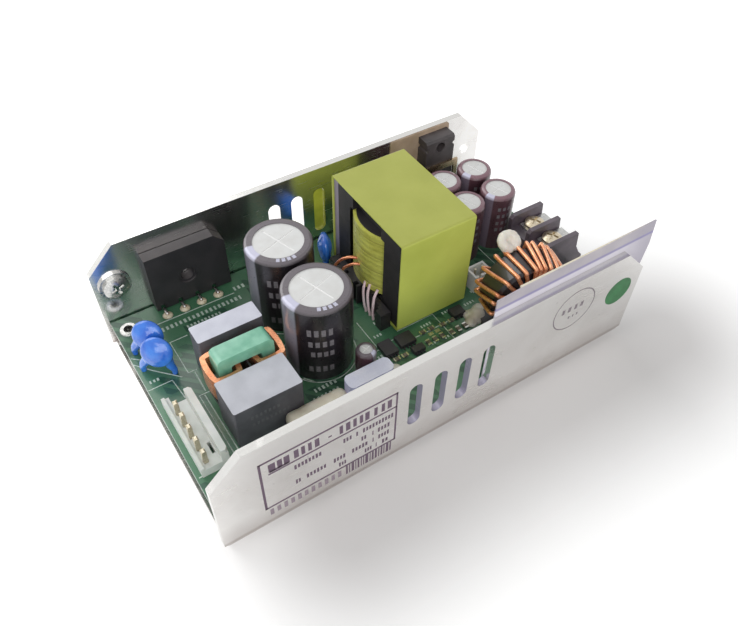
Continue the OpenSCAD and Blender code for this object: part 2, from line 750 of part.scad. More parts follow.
// Flying leads from the winding: two bare to the storage side, one sleeved pair down
module primary_leads() {
  x0 = tr_x - winding_r;
  z0 = win_low + 5;
  color("peru") {
    wire([[x0 - 0.7, tr_y + 3, z0 + 3], [x0 - 2.4, tr_y + 4, z0 + 2.6], [x0 - 4.6, tr_y + 5.4, z0 + 1],
      [x0 - 5.6, tr_y + 6, z0 - 3], [x0 - 5.7, tr_y + 6.2, board_top + 2],
      [x0 - 5.7, tr_y + 6.2, board_top]], 0.4);
    wire([[x0 - 0.7, tr_y + 1.2, z0 + 2], [x0 - 2.2, tr_y + 2, z0 + 1.6], [x0 - 4.2, tr_y + 3.6, z0 - 0.4],
      [x0 - 4.9, tr_y + 4, z0 - 4], [x0 - 5, tr_y + 4, board_top + 2],
      [x0 - 5, tr_y + 4, board_top]], 0.4);
  }
  color("lavenderblush") {
    wire([[x0 - 0.5, tr_y - 2.5, z0 - 3.3], [x0 - 1.1, tr_y - 3.1, z0 - 5.6],
      [x0 - 1.2, tr_y - 4.6, board_top + 2], [x0 - 1.2, tr_y - 4.9, board_top + 0.9],
      [x0 - 1.2, tr_y - 4.9, board_top]], 0.45);
    wire([[x0 - 0.4, tr_y - 4.5, z0 - 3.1], [x0 - 1, tr_y - 5.2, z0 - 5.6],
      [x0 - 1.1, tr_y - 6.5, board_top + 2], [x0 - 1.1, tr_y - 6.8, board_top + 0.9],
      [x0 - 1.1, tr_y - 6.8, board_top]], 0.45);
    wire([[x0 + 0.3, tr_y - 7.2, z0 - 3.2], [x0 - 0.7, tr_y - 7.5, z0 - 5],
      [x0 - 1.1, tr_y - 8.4, board_top + 2], [x0 - 1.2, tr_y - 8.7, board_top + 0.9],
      [x0 - 1.2, tr_y - 8.7, board_top]], 0.45);
  }
}

// ---------- output ----------

module rectifier_pad() {
  color("rosybrown") translate([pack_x - 4.6, from_rear(pad_t / 2), rear_wall_h - 0.3 - pad_h / 2])
    rotate([90, 0, 0]) linear_extrude(pad_t, center = true) rounded(pad_l, pad_h, 0.8);
}

// Fully moulded power device standing against the wall
module output_rectifier() {
  hole_z = pack_h - 2.9;
  color([0.1, 0.1, 0.1]) translate([pack_x, pack_y, pack_z]) difference() {
    translate([-pack_w / 2, -pack_t / 2, 0]) cube([pack_w, pack_t, pack_h]);
    translate([0, 0, hole_z]) rotate([90, 0, 0]) cylinder(h = pack_t + 1, r = 1.6, center = true);
    translate([0, -pack_t / 2, pack_h]) rotate([45, 0, 0]) cube([2 * pack_w, 0.9, 0.9], center = true);
    for (s = [-1, 1]) translate([s * pack_w / 2, 0, hole_z]) rotate([90, 0, 0])
      cylinder(h = pack_t + 1, r = 0.7, center = true);
  }
}

module rectifier_leads() {
  w = 0.8;
  y = pack_y - 0.4;
  color("silver") for (k = [-1 : 1]) translate([pack_x + k * 2.54, y, 0]) {
    translate([-w / 2, -0.3, board_top]) cube([w, 0.6, pack_z - board_top]);
    translate([-w, -0.3, board_top + 4]) cube([2 * w, 0.6, pack_z - board_top - 4]);
  }
}

// Staple that presses the power device against the wall
module rectifier_staple() {
  half = pack_w / 2 + 1.6;
  bar_z = pack_z + 6.4;
  leg = 1.4;
  color("tan") translate([pack_x, from_rear(pad_t + pack_t), 0]) rotate([90, 0, 0])
    linear_extrude(0.7) union() {
      translate([-half, bar_z - leg]) square([2 * half, 2]);
      for (s = [-1, 1]) translate([s * (half - leg / 2) - leg / 2, board_top])
        square([leg, bar_z - board_top]);
    }
}

module output_cans() {
  color("lightgray") for (p = out_places) can(p, out_cap_d, out_cap_h, 0.25);
}

module output_sleeve(i) {
  color([0.3, 0.2, 0.23]) sleeve(out_places[i], out_cap_d, out_cap_h, 1.4);
}

module output_leads() {
  color("silver") for (p = out_places, i = [-1, 1]) lead(p.x, p.y + i * out_lead_half, 0.3);
}

module at_ring() {
  translate([ring_place.x, ring_place.y, ring_z]) rotate(ring_yaw) rotate([90, 0, 0]) children();
}

module ring_core() {
  bevel = 0.8;
  color([0.12, 0.12, 0.12]) at_ring() rotate_extrude() polygon([
    [ring_hole_r, -ring_t / 2 + bevel], [ring_hole_r + bevel, -ring_t / 2],
    [ring_r - bevel, -ring_t / 2], [ring_r, -ring_t / 2 + bevel],
    [ring_r, ring_t / 2 - bevel], [ring_r - bevel, ring_t / 2],
    [ring_hole_r + bevel, ring_t / 2], [ring_hole_r, ring_t / 2 - bevel]
  ]);
}

// One wire laid turn by turn round the ring; it steps forward on the rim and opens out at the top
module ring_winding() {
  w = wire_d / 2 + 0.06;
  outer = ring_r + w;
  inner = ring_hole_r - w;
  top = ring_t / 2 + w;
  half_arc = 153;
  ease = 0.0875;
  loop = [
    [outer, 0, 0], [outer, top - 0.9, 0.42], [outer - 0.9, top, 0.45], [inner + 1.1, top, 0.47],
    [inner, top - 1.1, 0.49], [inner, 1.1 - top, 0.51], [inner + 1.1, -top, 0.53],
    [outer - 0.9, -top, 0.55], [outer, 0.9 - top, 0.58]
  ];
  function angle(t) =
    let (u = 2 * t / ring_turns - 1)
    90 + half_arc * (u + ease * sin(180 * u));
  path = [for (t = [0 : ring_turns - 1], q = loop)
    let (a = angle(t + q[2]))
    [q[0] * cos(a), q[0] * sin(a), q[1]]];
  color("sandybrown") at_ring() wire(path, wire_d / 2, 7, [0.1, 0.2, 1]);
}

module ring_base() {
  color([0.1, 0.1, 0.1]) translate([ring_place.x, ring_place.y, board_top]) rotate(ring_yaw)
    linear_extrude(ring_base_h) rounded(19, ring_t + 3, 1.2);
}

// Silicone over the rear shoulder of the wound ring
module ring_adhesive() {
  face = ring_t / 2 + wire_d + 0.2;
  beads = [[94, 2.3], [106, 2.7], [117, 2.1]];
  color("linen") at_ring() intersection() {
    for (b = beads) rotate(b[0]) translate([ring_r + 1.2, 0, -face]) sphere(b[1]);
    translate([-ring_r, 0, -face - 4]) cube([2 * ring_r, 2 * ring_r, 4]);
  }
}

// Beads of silicone on the board: place and radius
glue_spots = [[24.3, 17.6, 2.8], [26.3, 18.9, 2], [-5.6, 14.4, 2.2], [-6.9, 15.6, 1.7]];
module board_adhesive() {
  color("linen") difference() {
    for (g = glue_spots) translate([g[0], from_front(g[1]), board_top]) intersection() {
      sphere(g[2]);
      translate([0, 0, g[2]]) cube(2 * g[2], center = true);
    }
    translate([ring_place.x, ring_place.y, board_top - 1]) rotate(ring_yaw)
      linear_extrude(ring_base_h + 1 + seat) rounded(19.2, ring_t + 3.2, 1.2);
  }
}

function way_y(i) = terminal_y + (i - (terminal_ways - 1) / 2) * terminal_pitch;

module terminal_body() {
  color([0.09, 0.09, 0.09]) translate([terminal_x, terminal_y, board_top]) difference() {
    union() {
      translate([-terminal_l, -terminal_w / 2, 0]) cube([terminal_fin_l, terminal_w, terminal_deck_h]);
      translate([-terminal_tooth - 1, -terminal_w / 2, 0])
        cube([terminal_tooth + 1, terminal_w, terminal_lip_h]);
      for (i = [0 : terminal_ways])
        translate([-terminal_l, (i - terminal_ways / 2) * terminal_pitch, 0]) rotate([90, 0, 0])
          linear_extrude(terminal_fin_t, center = true) polygon([
            [0, 0], [terminal_l - 0.6, 0], [terminal_l - 0.6, terminal_lip_h],
            [terminal_fin_l + 0.6, terminal_deck_h - 1], [terminal_fin_l, terminal_h],
            [0.8, terminal_h], [0, terminal_h - 1]
          ]);
    }
    for (i = [0 : terminal_ways - 1])
      translate([screw_x - terminal_x, way_y(i) - terminal_y, 3]) cylinder(h = terminal_h, r = 1.7);
  }
}

module terminal_clamps() {
  color("silver") for (i = [0 : terminal_ways - 1]) translate([0, way_y(i), board_top]) {
    translate([screw_x, 0, terminal_deck_h]) difference() {
      translate([-3.2, -2.7, 0]) cube([clamp_end - screw_x + 3.2, 5.4, 0.8]);
      translate([0, 0, -1]) cylinder(h = 3, r = 1.65);
    }
    translate([clamp_end - 0.8, -2.7, terminal_lip_h]) cube([0.8, 5.4, terminal_deck_h - terminal_lip_h]);
  }
}

module terminal_screws() {
  head_r = 2.9;
  color("wheat") for (i = [0 : terminal_ways - 1])
    translate([screw_x, way_y(i), board_top + terminal_deck_h + 0.8]) difference() {
      union() {
        translate([0, 0, -5]) cylinder(h = 5, r = 1.5);
        intersection() {
          cylinder(h = 2, r = head_r);
          translate([0, 0, -3.3]) sphere(5.3);
        }
      }
      for (a = [30, 120]) rotate(a) translate([0, 0, 2]) cube([0.7, 3.4, 1.8], center = true);
    }
}

module remote_header() {
  half_l = 3.1;
  half_w = 2.4;
  color("ivory") translate([remote_place.x, remote_place.y, board_top]) difference() {
    translate([-half_l, -half_w, 0]) cube([2 * half_l, 2 * half_w, 6]);
    translate([0.7 - half_l, 0.7 - half_w, 1.2]) cube([2 * half_l - 1.4, 2 * half_w - 1.4, 8]);
    for (x = [-1.25, 1.25]) translate([x, -half_w, 5]) cube([1, 3, 4], center = true);
    for (x = [-1.25, 1.25]) translate([x, 0.2, -1]) cylinder(h = 4, r = 0.4);
  }
}

module remote_pins() {
  color("silver") for (x = [-1.25, 1.25])
    translate([remote_place.x + x, remote_place.y + 0.2, board_top]) cylinder(h = 6.6, r = 0.32);
}

// Control circuits: place, length, depth and turn of each small outline body
chip_places = [
  [-3.4, 21.3, 3.9, 4.9, 0], [2.3, 21.4, 4.9, 3.9, 0], [3.5, 16.9, 3.6, 2, 0], [20.4, 22.1, 3.9, 3, 0]
];
module control_chips() {
  for (c = chip_places) translate([c[0], from_front(c[1]), board_top]) {
    color([0.1, 0.1, 0.1]) translate([-c[2] / 2, -c[3] / 2, 0]) cube([c[2], c[3], 1.4]);
    color("silver") for (s = [-1, 1], k = [-1.5 : 1.5])
      translate([k * c[2] / 4.4 - 0.2, s * (c[3] / 2 + 0.3) - 0.35, 0]) cube([0.4, 0.7, 0.5]);
  }
}

// Rows of small chip parts: first place, count, pitch and turn
chip_rows = [
  [-2.4, 13.2, 3, 2.2, 90], [-3.2, 17.2, 2, 2.6, 0], [7.4, 17.4, 3, 2.3, 90], [8, 21.2, 2, 2.9, 0],
  [6, 13.2, 3, 3.1, 0], [15.4, 13.4, 2, 2.6, 0], [15, 17, 3, 2.3, 90], [14.4, 20.6, 2, 3, 0]
];
module chip_parts() {
  color("tan") for (r = chip_rows, k = [0 : r[2] - 1])
    translate([r[0] + k * r[3], from_front(r[1]), board_top]) rotate(r[4])
      translate([-1, -0.6, 0]) cube([2, 1.2, 0.6]);
}

bracket();
base_insulator();
board();
board_spacers();
base_screws();
wall_film();
earth_screw();
inlet_header();
inlet_pins();
fuse_tube();
fuse_caps();
x_cap_rear();
x_cap_front();
x_cap_leads();
line_choke_core();
line_choke_coil_line();
line_choke_coil_neutral();
line_choke_base();
y_cap_line();
y_cap_neutral();
y_cap_bridge();
bridge_rectifier();
bridge_leads();
bulk_can_rear();
bulk_sleeve_rear();
bulk_can_front();
bulk_sleeve_front();
bulk_leads();
supply_can();
supply_sleeve();
snubber_cap();
core_upper();
core_lower();
transformer_bobbin();
transformer_winding();
transformer_tape();
transformer_pins();
primary_leads();
rectifier_pad();
output_rectifier();
rectifier_leads();
rectifier_staple();
output_cans();
output_sleeve(0);  // output_sleeve_1
output_sleeve(1);  // output_sleeve_2
output_sleeve(2);  // output_sleeve_3
output_sleeve(3);  // output_sleeve_4
output_leads();
ring_core();
ring_winding();
ring_base();
ring_adhesive();
board_adhesive();
terminal_body();
terminal_clamps();
terminal_screws();
remote_header();
remote_pins();
control_chips();
chip_parts();
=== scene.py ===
"""Looks for the open frame power supply: finishes for every CAD node, the printed marks,
the smooth windings and coatings, and the studio it stands in. The scene is in metres; sizes
from corners(), and those given to wires(), melted() and block_print(), are in millimetres."""

import json
import math

import bmesh
import bpy
from mathutils import Matrix, Vector


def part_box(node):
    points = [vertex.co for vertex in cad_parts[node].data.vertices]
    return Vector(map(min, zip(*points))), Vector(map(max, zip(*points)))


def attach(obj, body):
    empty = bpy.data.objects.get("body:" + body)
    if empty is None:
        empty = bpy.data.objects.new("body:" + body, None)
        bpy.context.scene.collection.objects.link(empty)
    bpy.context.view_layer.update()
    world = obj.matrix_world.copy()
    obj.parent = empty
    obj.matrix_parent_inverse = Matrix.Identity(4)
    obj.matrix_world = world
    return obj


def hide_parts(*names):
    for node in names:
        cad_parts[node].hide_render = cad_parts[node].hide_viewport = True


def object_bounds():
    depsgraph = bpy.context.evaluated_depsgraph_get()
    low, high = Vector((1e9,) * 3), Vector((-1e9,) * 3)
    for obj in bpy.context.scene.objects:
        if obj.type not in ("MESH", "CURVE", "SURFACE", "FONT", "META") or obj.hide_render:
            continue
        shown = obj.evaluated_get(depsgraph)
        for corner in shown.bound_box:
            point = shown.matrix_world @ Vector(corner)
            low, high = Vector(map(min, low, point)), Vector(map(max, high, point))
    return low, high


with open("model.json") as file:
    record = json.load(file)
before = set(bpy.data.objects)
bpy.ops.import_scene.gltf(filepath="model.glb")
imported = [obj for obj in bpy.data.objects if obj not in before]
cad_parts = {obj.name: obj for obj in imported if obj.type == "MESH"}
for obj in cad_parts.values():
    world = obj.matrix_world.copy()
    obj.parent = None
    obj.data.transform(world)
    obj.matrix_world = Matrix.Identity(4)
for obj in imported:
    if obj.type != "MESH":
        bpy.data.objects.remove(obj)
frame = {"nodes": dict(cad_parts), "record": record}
cad_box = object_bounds()
nodes = frame["nodes"]

MM = 0.001
SHEET = 2  # thickness of the bracket, in millimetres
FULL_TURN = 2 * math.pi


# ---- camera

def new_object(name, data):
    made = bpy.data.objects.new(name, data)
    bpy.context.scene.collection.objects.link(made)
    return made


VIEW_TURN = (-35.77, 49.16, 2.81)  # azimuth, elevation and roll, in degrees
VIEW_FROM = (-76.9, -115.1, 166.2)  # in millimetres
VIEW_SHIFT = (-0.0251, 0.0184)


def aim_camera():
    """A short tele view down on the inlet corner of the label wall."""
    azimuth, elevation, roll = (math.radians(a) for a in VIEW_TURN)
    back = Vector((
        math.sin(azimuth) * math.cos(elevation),
        -math.cos(azimuth) * math.cos(elevation),
        math.sin(elevation),
    ))
    right = (-back).cross(Vector((0, 0, 1))).normalized()
    up = right.cross(-back)
    turned_right = right * math.cos(roll) + up * math.sin(roll)
    turned_up = up * math.cos(roll) - right * math.sin(roll)
    data = bpy.data.cameras.new("camera")
    data.sensor_width = 36
    data.lens = 36.0
    data.shift_x, data.shift_y = VIEW_SHIFT
    data.clip_start, data.clip_end = 0.01, 20
    camera = new_object("camera", data)
    turn = Matrix((turned_right, turned_up, back)).transposed().to_4x4()
    camera.matrix_world = Matrix.Translation(Vector(VIEW_FROM) * MM) @ turn
    bpy.context.scene.camera = camera


aim_camera()


# ---- finishes

def srgb(*screen):
    """A colour given as it looks on a screen, 0 to 255, as the shader wants it."""
    def lin(c):
        c /= 255
        return c / 12.92 if c <= 0.04045 else ((c + 0.055) / 1.055) ** 2.4
    return (*map(lin, screen), 1)


def add_node(tree, kind, sockets=(), **settings):
    """A node with its settings made, and each socket given a value or linked to a source."""
    made = tree.nodes.new(kind)
    for key, value in settings.items():
        setattr(made, key, value)
    for socket, value in dict(sockets).items():
        if hasattr(value, "is_output"):
            tree.links.new(value, made.inputs[socket])
        else:
            made.inputs[socket].default_value = value
    return made


class Finish:
    """A Principled material with helpers that chain its texture nodes."""

    def __init__(self, name, **sockets):
        self.material = bpy.data.materials.new(name)
        self.material.use_nodes = True
        self.tree = self.material.node_tree
        self.shader = self.tree.nodes["Principled BSDF"]
        self.where = self.tree.nodes.new("ShaderNodeTexCoord").outputs["Object"]
        self.height = None
        for key, value in sockets.items():
            self.shader.inputs[key.replace("_", " ")].default_value = value

    def node(self, kind, sockets=(), **settings):
        return add_node(self.tree, "ShaderNode" + kind, sockets, **settings)

    def link(self, a, b):
        self.tree.links.new(a, b)

    def stretched(self, scale):
        """Object coordinates scaled by axis, for grain that runs one way."""
        return self.node("Mapping", {"Scale": scale, "Vector": self.where}).outputs["Vector"]

    def noise(self, size, detail=2.0, rough=0.5, distort=0.0, where=None):
        """Noise whose blobs are about size metres across."""
        return self.node("TexNoise", {
            "Scale": 1 / size, "Detail": detail, "Roughness": rough, "Distortion": distort,
            "Vector": where or self.where}).outputs["Fac"]

    def spread(self, value, low, high, out_low=0.0, out_high=1.0):
        return self.node("MapRange", {
            "From Min": low, "From Max": high, "To Min": out_low, "To Max": out_high,
            "Value": value}).outputs["Result"]

    def tone(self, size, detail=3):
        """Soft patches about size millimetres across, from 0 to 1."""
        return self.spread(self.noise(size * MM, detail), 0.35, 0.7)

    def gloss(self, size, low, high, detail=3):
        """Roughness that wanders from low to high over spots about size millimetres across."""
        return self.roughness(self.spread(self.noise(size * MM, detail), 0.3, 0.7, low, high))

    def mixed(self, factor, first, second):
        """Colour mix; either side may be a screen colour or a socket."""
        first, second = (srgb(*c) if isinstance(c, tuple) else c for c in (first, second))
        return self.node("Mix", {0: factor, 6: first, 7: second}, data_type="RGBA").outputs[2]

    def sums(self, operation, first, second):
        return self.node("Math", {0: first, 1: second}, operation=operation).outputs[0]

    def colour(self, socket):
        self.link(socket, self.shader.inputs["Base Color"])
        return self

    def roughness(self, socket):
        self.link(socket, self.shader.inputs["Roughness"])
        return self

    def bump(self, height, depth, strength=1.0):
        """Adds relief: height is 0 to 1 and depth is what 1 stands for, in metres."""
        sockets = {"Strength": strength, "Distance": depth, "Height": height}
        if self.height:
            sockets["Normal"] = self.height
        self.height = self.node("Bump", sockets).outputs["Normal"]
        self.link(self.height, self.shader.inputs["Normal"])
        return self

    def along(self, axis, source=None):
        """One axis of the place on the object, or of another vector."""
        return self.node("SeparateXYZ", {0: source or self.where}).outputs[axis]

    def facing(self, axis):
        """How far the surface faces along an axis, from -1 to 1."""
        return self.along(axis, self.node("NewGeometry").outputs["Normal"])


def around(made, centre):
    """Angle round an upright axis at centre, from -pi to pi, and the height above it."""
    shift = made.node("VectorMath", {0: made.where, 1: centre}, operation="SUBTRACT").outputs[0]
    split = made.node("SeparateXYZ", {0: shift}).outputs
    return made.sums("ARCTAN2", split["Y"], split["X"]), split["Z"]


def between(made, value, low, high, soft):
    """1 inside the band from low to high, fading over soft."""
    up = made.spread(value, low - soft, low + soft)
    down = made.spread(value, high - soft, high + soft, 1.0, 0.0)
    return made.sums("MULTIPLY", up, down)


def plain(name, light, dark, blotch=6 * MM, grain=0.25 * MM, rough=(0.4, 0.55), relief=0.02 * MM,
          **sockets):
    """Moulded or painted surface: soft blotches of two close colours, fine grain in the gloss."""
    made = Finish(name, **sockets)
    soft = made.spread(made.noise(blotch, 3), 0.35, 0.65)
    made.colour(made.mixed(soft, light, dark))
    fine = made.noise(grain, 2)
    made.roughness(made.spread(fine, 0.3, 0.7, *rough))
    made.bump(fine, relief, 0.5)
    return made.material


def sheet_aluminium():
    """Mill-finish sheet: rolling lines along X and smudges, with painted shade towards the bottom,
    along the bottom fold and on the slot faces, and a top edge tinted to its lit tone.
    """
    made = Finish("sheet_aluminium", Metallic=1.0)
    lines = made.noise(1.0, 3, 0.6, where=made.stretched((60, 2600, 2600)))
    smudge = made.spread(made.noise(14 * MM, 4, 0.6, 0.4), 0.42, 0.75)
    body = made.mixed(smudge, (240, 239, 237), (226, 223, 220))
    # painted shade: the colour darkens towards the bottom, standing in for the shaded floor that
    # the wall reflects
    low = made.spread(made.along("Z"), 3 * MM, 12 * MM, 0.6, 0.0)
    body = made.mixed(low, body, (176, 168, 164))
    # painted light: the up-facing top edge gets its own grey, set to the tone it takes under the
    # lamps
    edge = made.sums("MULTIPLY", made.spread(made.facing("Z"), 0.5, 0.9),
                     made.spread(made.along("Z"), 29 * MM, 30 * MM))
    body = made.mixed(edge, body, (216, 215, 212))
    # painted shade: a dark brownish line along the bottom fold
    fold_shade = between(made, made.along("Z"), 3.4 * MM, 4.4 * MM, 0.5 * MM)
    body = made.mixed(made.sums("MULTIPLY", fold_shade, 0.55), body, (150, 136, 130))
    # painted shade: faces inside the front wall's slots get a flat grey-lilac with little metal,
    # standing in for the shade in the slots
    sideways = made.spread(made.sums("ABSOLUTE", made.facing("Y"), 0), 0.4, 0.6, 1.0, 0.0)
    sideways = made.sums("MULTIPLY", sideways,
                         made.spread(made.along("Z"), 31 * MM, 32 * MM, 1.0, 0.0))
    inside = between(made, made.along("X"), -16 * MM, 12 * MM, 0.1 * MM)
    front = made.spread(made.along("Y"), -34 * MM, -33 * MM, 1.0, 0.0)
    slot_shade = made.sums("MULTIPLY", made.sums("MULTIPLY", sideways, inside), front)
    body = made.mixed(slot_shade, body, (158, 154, 172))
    made.link(made.spread(slot_shade, 0.0, 1.0, 1.0, 0.1), made.shader.inputs["Metallic"])
    spots = made.spread(made.noise(2.2 * MM, 2, 0.5), 0.76, 0.8, 0.0, 0.5)
    made.colour(made.mixed(spots, body, (168, 164, 164)))
    scuff = made.spread(made.noise(1.0, 2, 0.5, 1.5, made.stretched((90, 90, 1200))), 0.66, 0.74)
    gloss = made.sums("ADD", made.spread(lines, 0.3, 0.7, 0.17, 0.24),
                      made.sums("MULTIPLY", smudge, 0.08))
    made.roughness(made.sums("ADD", gloss, made.sums("MULTIPLY", scuff, 0.08)))
    made.bump(lines, 0.0015 * MM, 0.4)
    return made.material


def bright_metal(name, light, dark, rough=(0.18, 0.38), grain=0.5 * MM):
    made = Finish(name, Metallic=1.0)
    worn = made.spread(made.noise(grain, 4, 0.6), 0.35, 0.65)
    made.colour(made.mixed(worn, light, dark))
    made.roughness(made.spread(made.noise(grain * 2, 3), 0.3, 0.7, *rough))
    made.bump(worn, 0.003 * MM, 0.3)
    return made.material


def solder_mask():
    """Green lacquer over copper: pours and tracks lie paler and raised, vias between them."""
    made = Finish("solder_mask", Coat_Weight=0.45, Coat_Roughness=0.16)
    snap = made.node("VectorMath", {0: made.where, 1: (4.2 * MM, 3.4 * MM, 9)}, operation="SNAP")
    zone = made.node("TexNoise", {"Scale": 1 / (17 * MM), "Detail": 0, "Vector": snap.outputs[0]})
    pour = made.spread(zone.outputs["Fac"], 0.47, 0.49)
    lanes = made.node("TexWave", {"Scale": 1 / (6.6 * MM), "Distortion": 0.0, "Detail": 0.0,
                      "Vector": made.where}, wave_type="BANDS", bands_direction="DIAGONAL")
    track = made.spread(lanes.outputs["Fac"], 0.6, 0.72)
    vias = made.node("TexVoronoi", {"Scale": 1 / (4.6 * MM), "Vector": made.where}, feature="F1")
    ring = made.spread(vias.outputs["Distance"], 0.09, 0.11, 1.0, 0.0)
    copper = made.sums("MAXIMUM", made.sums("MAXIMUM", pour, made.sums("MULTIPLY", track, 0.8)),
                       ring)
    base = made.mixed(copper, (38, 82, 60), (72, 120, 88))
    blot = made.spread(made.noise(5 * MM, 3), 0.4, 0.8, 0.0, 0.5)
    made.colour(made.mixed(blot, base, (58, 104, 80)))
    made.gloss(0.4, 0.26, 0.42, 2)
    made.bump(copper, 0.035 * MM, 0.7)
    return made.material


def box_tape():
    """The outer wrap: satin film with a soft change of tone and shallow dents, greener towards the
    bottom; its sides are painted a lighter yellow than its top, painted light.
    """
    made = Finish("box_tape", Coat_Weight=0.12, Coat_Roughness=0.3)
    tone = made.tone(12)
    # painted light: the sides take a lighter copy of the yellow than the top, evening out how the
    # lamps light them
    side = made.mixed(tone, (196, 206, 98), (184, 194, 86))
    top = made.mixed(tone, (173, 178, 84), (163, 168, 74))
    body = made.mixed(made.spread(made.facing("Z"), 0.3, 0.8), side, top)
    made.colour(made.mixed(made.spread(made.along("Z"), 14 * MM, 30 * MM, 0.35, 0.0), body,
                           (172, 196, 88)))
    made.gloss(0.8, 0.4, 0.52)
    made.bump(made.noise(7 * MM, 2), 0.12 * MM, 0.3)
    made.bump(made.noise(0.5 * MM, 2), 0.008 * MM, 0.4)
    return made.material


def wound_tape():
    """Winding tape: lapped turns of a thin glossy film over round wire."""
    made = Finish("wound_tape", Coat_Weight=0.3, Coat_Roughness=0.18)
    turns = made.sums("FRACT", made.sums("DIVIDE", made.along("Z"), 5.2 * MM), 0)
    lap = made.spread(turns, 0.0, 0.12)
    tone = made.tone(4)
    body = made.mixed(tone, (206, 208, 104), (186, 186, 86))
    made.colour(made.mixed(lap, (150, 146, 70), body))
    made.gloss(0.8, 0.24, 0.4)
    wires = made.node("TexWave", {"Scale": 1 / (5.6 * MM), "Distortion": 3.0, "Vector": made.where},
                      wave_type="BANDS", bands_direction="Z")
    made.bump(wires.outputs["Fac"], 0.14 * MM, 0.5)
    made.bump(lap, 0.06 * MM, 0.6)
    return made.material


def shrink_sleeve(name, light, dark, centre, band, top, mark=None, curl_highlight=(112, 105, 111)):
    """Heat-shrunk vinyl on a can: a pale polarity band down one side and over the curled lip, with
    painted highlight lightening the lip and the band on it.

    band is the middle and half width of the pale strip, as angles; top is the can's height."""
    made = Finish(name, Coat_Weight=0.35, Coat_Roughness=0.14, IOR=1.5)
    tone = made.spread(made.noise(4 * MM, 3), 0.3, 0.7)
    body = made.mixed(tone, light, dark)
    angle, level = around(made, centre)
    turned = made.sums("ADD", angle, math.pi - band[0])
    wrapped = made.sums("SUBTRACT", made.sums("FLOORED_MODULO", turned, 2 * math.pi), math.pi)
    strip = between(made, wrapped, -band[1], band[1], 0.03)
    # painted highlight: over the curled lip the band turns pale lilac and the body lightens
    lip = made.spread(level, top - 1.1 * MM, top - 0.2 * MM)
    lilac = made.mixed(lip, mark or (120, 117, 126), (205, 205, 226))
    body = made.mixed(made.sums("MULTIPLY", lip, 0.8), body, curl_highlight)
    made.colour(made.mixed(strip, body, lilac))
    made.gloss(0.6, 0.26, 0.4)
    made.bump(made.noise(1.0, 2, where=made.stretched((300, 300, 60))), 0.05 * MM, 0.4)
    return made.material


def can_lid(name, top):
    """Etched lid, with its score painted paler, a painted highlight."""
    made = Finish(name, Metallic=0.2)
    tone = made.tone(3, 4)
    body = made.mixed(tone, (216, 217, 216), (208, 208, 206))
    # painted highlight: the score is painted paler than the lid
    score_highlight = between(made, made.along("Z"), top - 0.5 * MM, top - 0.03 * MM, 0.02 * MM)
    made.colour(made.mixed(score_highlight, body, (232, 232, 231)))
    made.gloss(0.3, 0.42, 0.55)
    made.bump(made.noise(0.3 * MM, 3), 0.008 * MM, 0.5)
    return made.material


def box_capacitor(name, side_light, side_dark, top_light, top_dark):
    """Potted box: moulded sides and an upper face, painted as lit and shaded copies of one colour,
    the upper face paler.
    """
    made = Finish(name)
    tone = made.spread(made.noise(5 * MM, 3), 0.35, 0.65)
    # painted light: paler copies of the colour on the upper face, darker on the sides
    side = made.mixed(tone, side_light, side_dark)
    top = made.mixed(tone, top_light, top_dark)
    fine = made.noise(0.16 * MM, 2)
    body = made.mixed(made.spread(made.facing("Z"), 0.4, 0.8), side, top)
    made.colour(made.mixed(made.spread(fine, 0.4, 0.7, 0.0, 0.12), body, (120, 122, 132)))
    made.roughness(made.spread(fine, 0.3, 0.7, 0.36, 0.52))
    made.bump(fine, 0.02 * MM, 0.5)
    return made.material


def enamelled_copper(name="enamelled_copper", light=(238, 168, 122), dark=(214, 132, 88)):
    made = Finish(name, Metallic=0.55, Coat_Weight=0.5, Coat_Roughness=0.15)
    tone = made.tone(2.5)
    made.colour(made.mixed(tone, light, dark))
    made.gloss(0.5, 0.24, 0.36)
    made.bump(made.noise(0.7 * MM, 2), 0.01 * MM, 0.4)
    return made.material


def milky_sheet(top):
    """Thin insulating sheet: cloudy and paler low down, with painted shade turning it lilac towards
    +X, a painted violet line of refracted light and a painted cream highlight along its upper edge.
    """
    made = Finish("milky_sheet", Transmission_Weight=0.1, Coat_Weight=0.2, Coat_Roughness=0.2)
    cloud = made.spread(made.noise(8 * MM, 3), 0.3, 0.7)
    grey = made.mixed(cloud, (196, 190, 196), (178, 172, 182))
    pale = made.mixed(cloud, (232, 228, 238), (220, 215, 228))
    body = made.mixed(made.spread(made.along("Z"), top - 5.2 * MM, top - 4.6 * MM, 1.0, 0.0), grey,
                      pale)
    # painted shade: the sheet turns lilac towards +X
    body = made.mixed(made.spread(made.along("X"), 52 * MM, 64 * MM, 0.0, 0.7), body,
                      (160, 154, 172))
    level = made.along("Z")
    # painted light: a violet line of refracted light just above the wall's top edge
    violet = between(made, level, top - 4.9 * MM, top - 4.1 * MM, 0.3 * MM)
    body = made.mixed(made.sums("MULTIPLY", violet, 0.7), body, (118, 110, 184))
    # painted highlight: a cream line along the upper edge
    edge = made.spread(level, top - 0.5 * MM, top - 0.3 * MM)
    made.colour(made.mixed(edge, body, (236, 228, 206)))
    made.gloss(0.8, 0.3, 0.45, 2)
    made.bump(made.noise(7 * MM, 2), 0.12 * MM, 0.4)
    return made.material


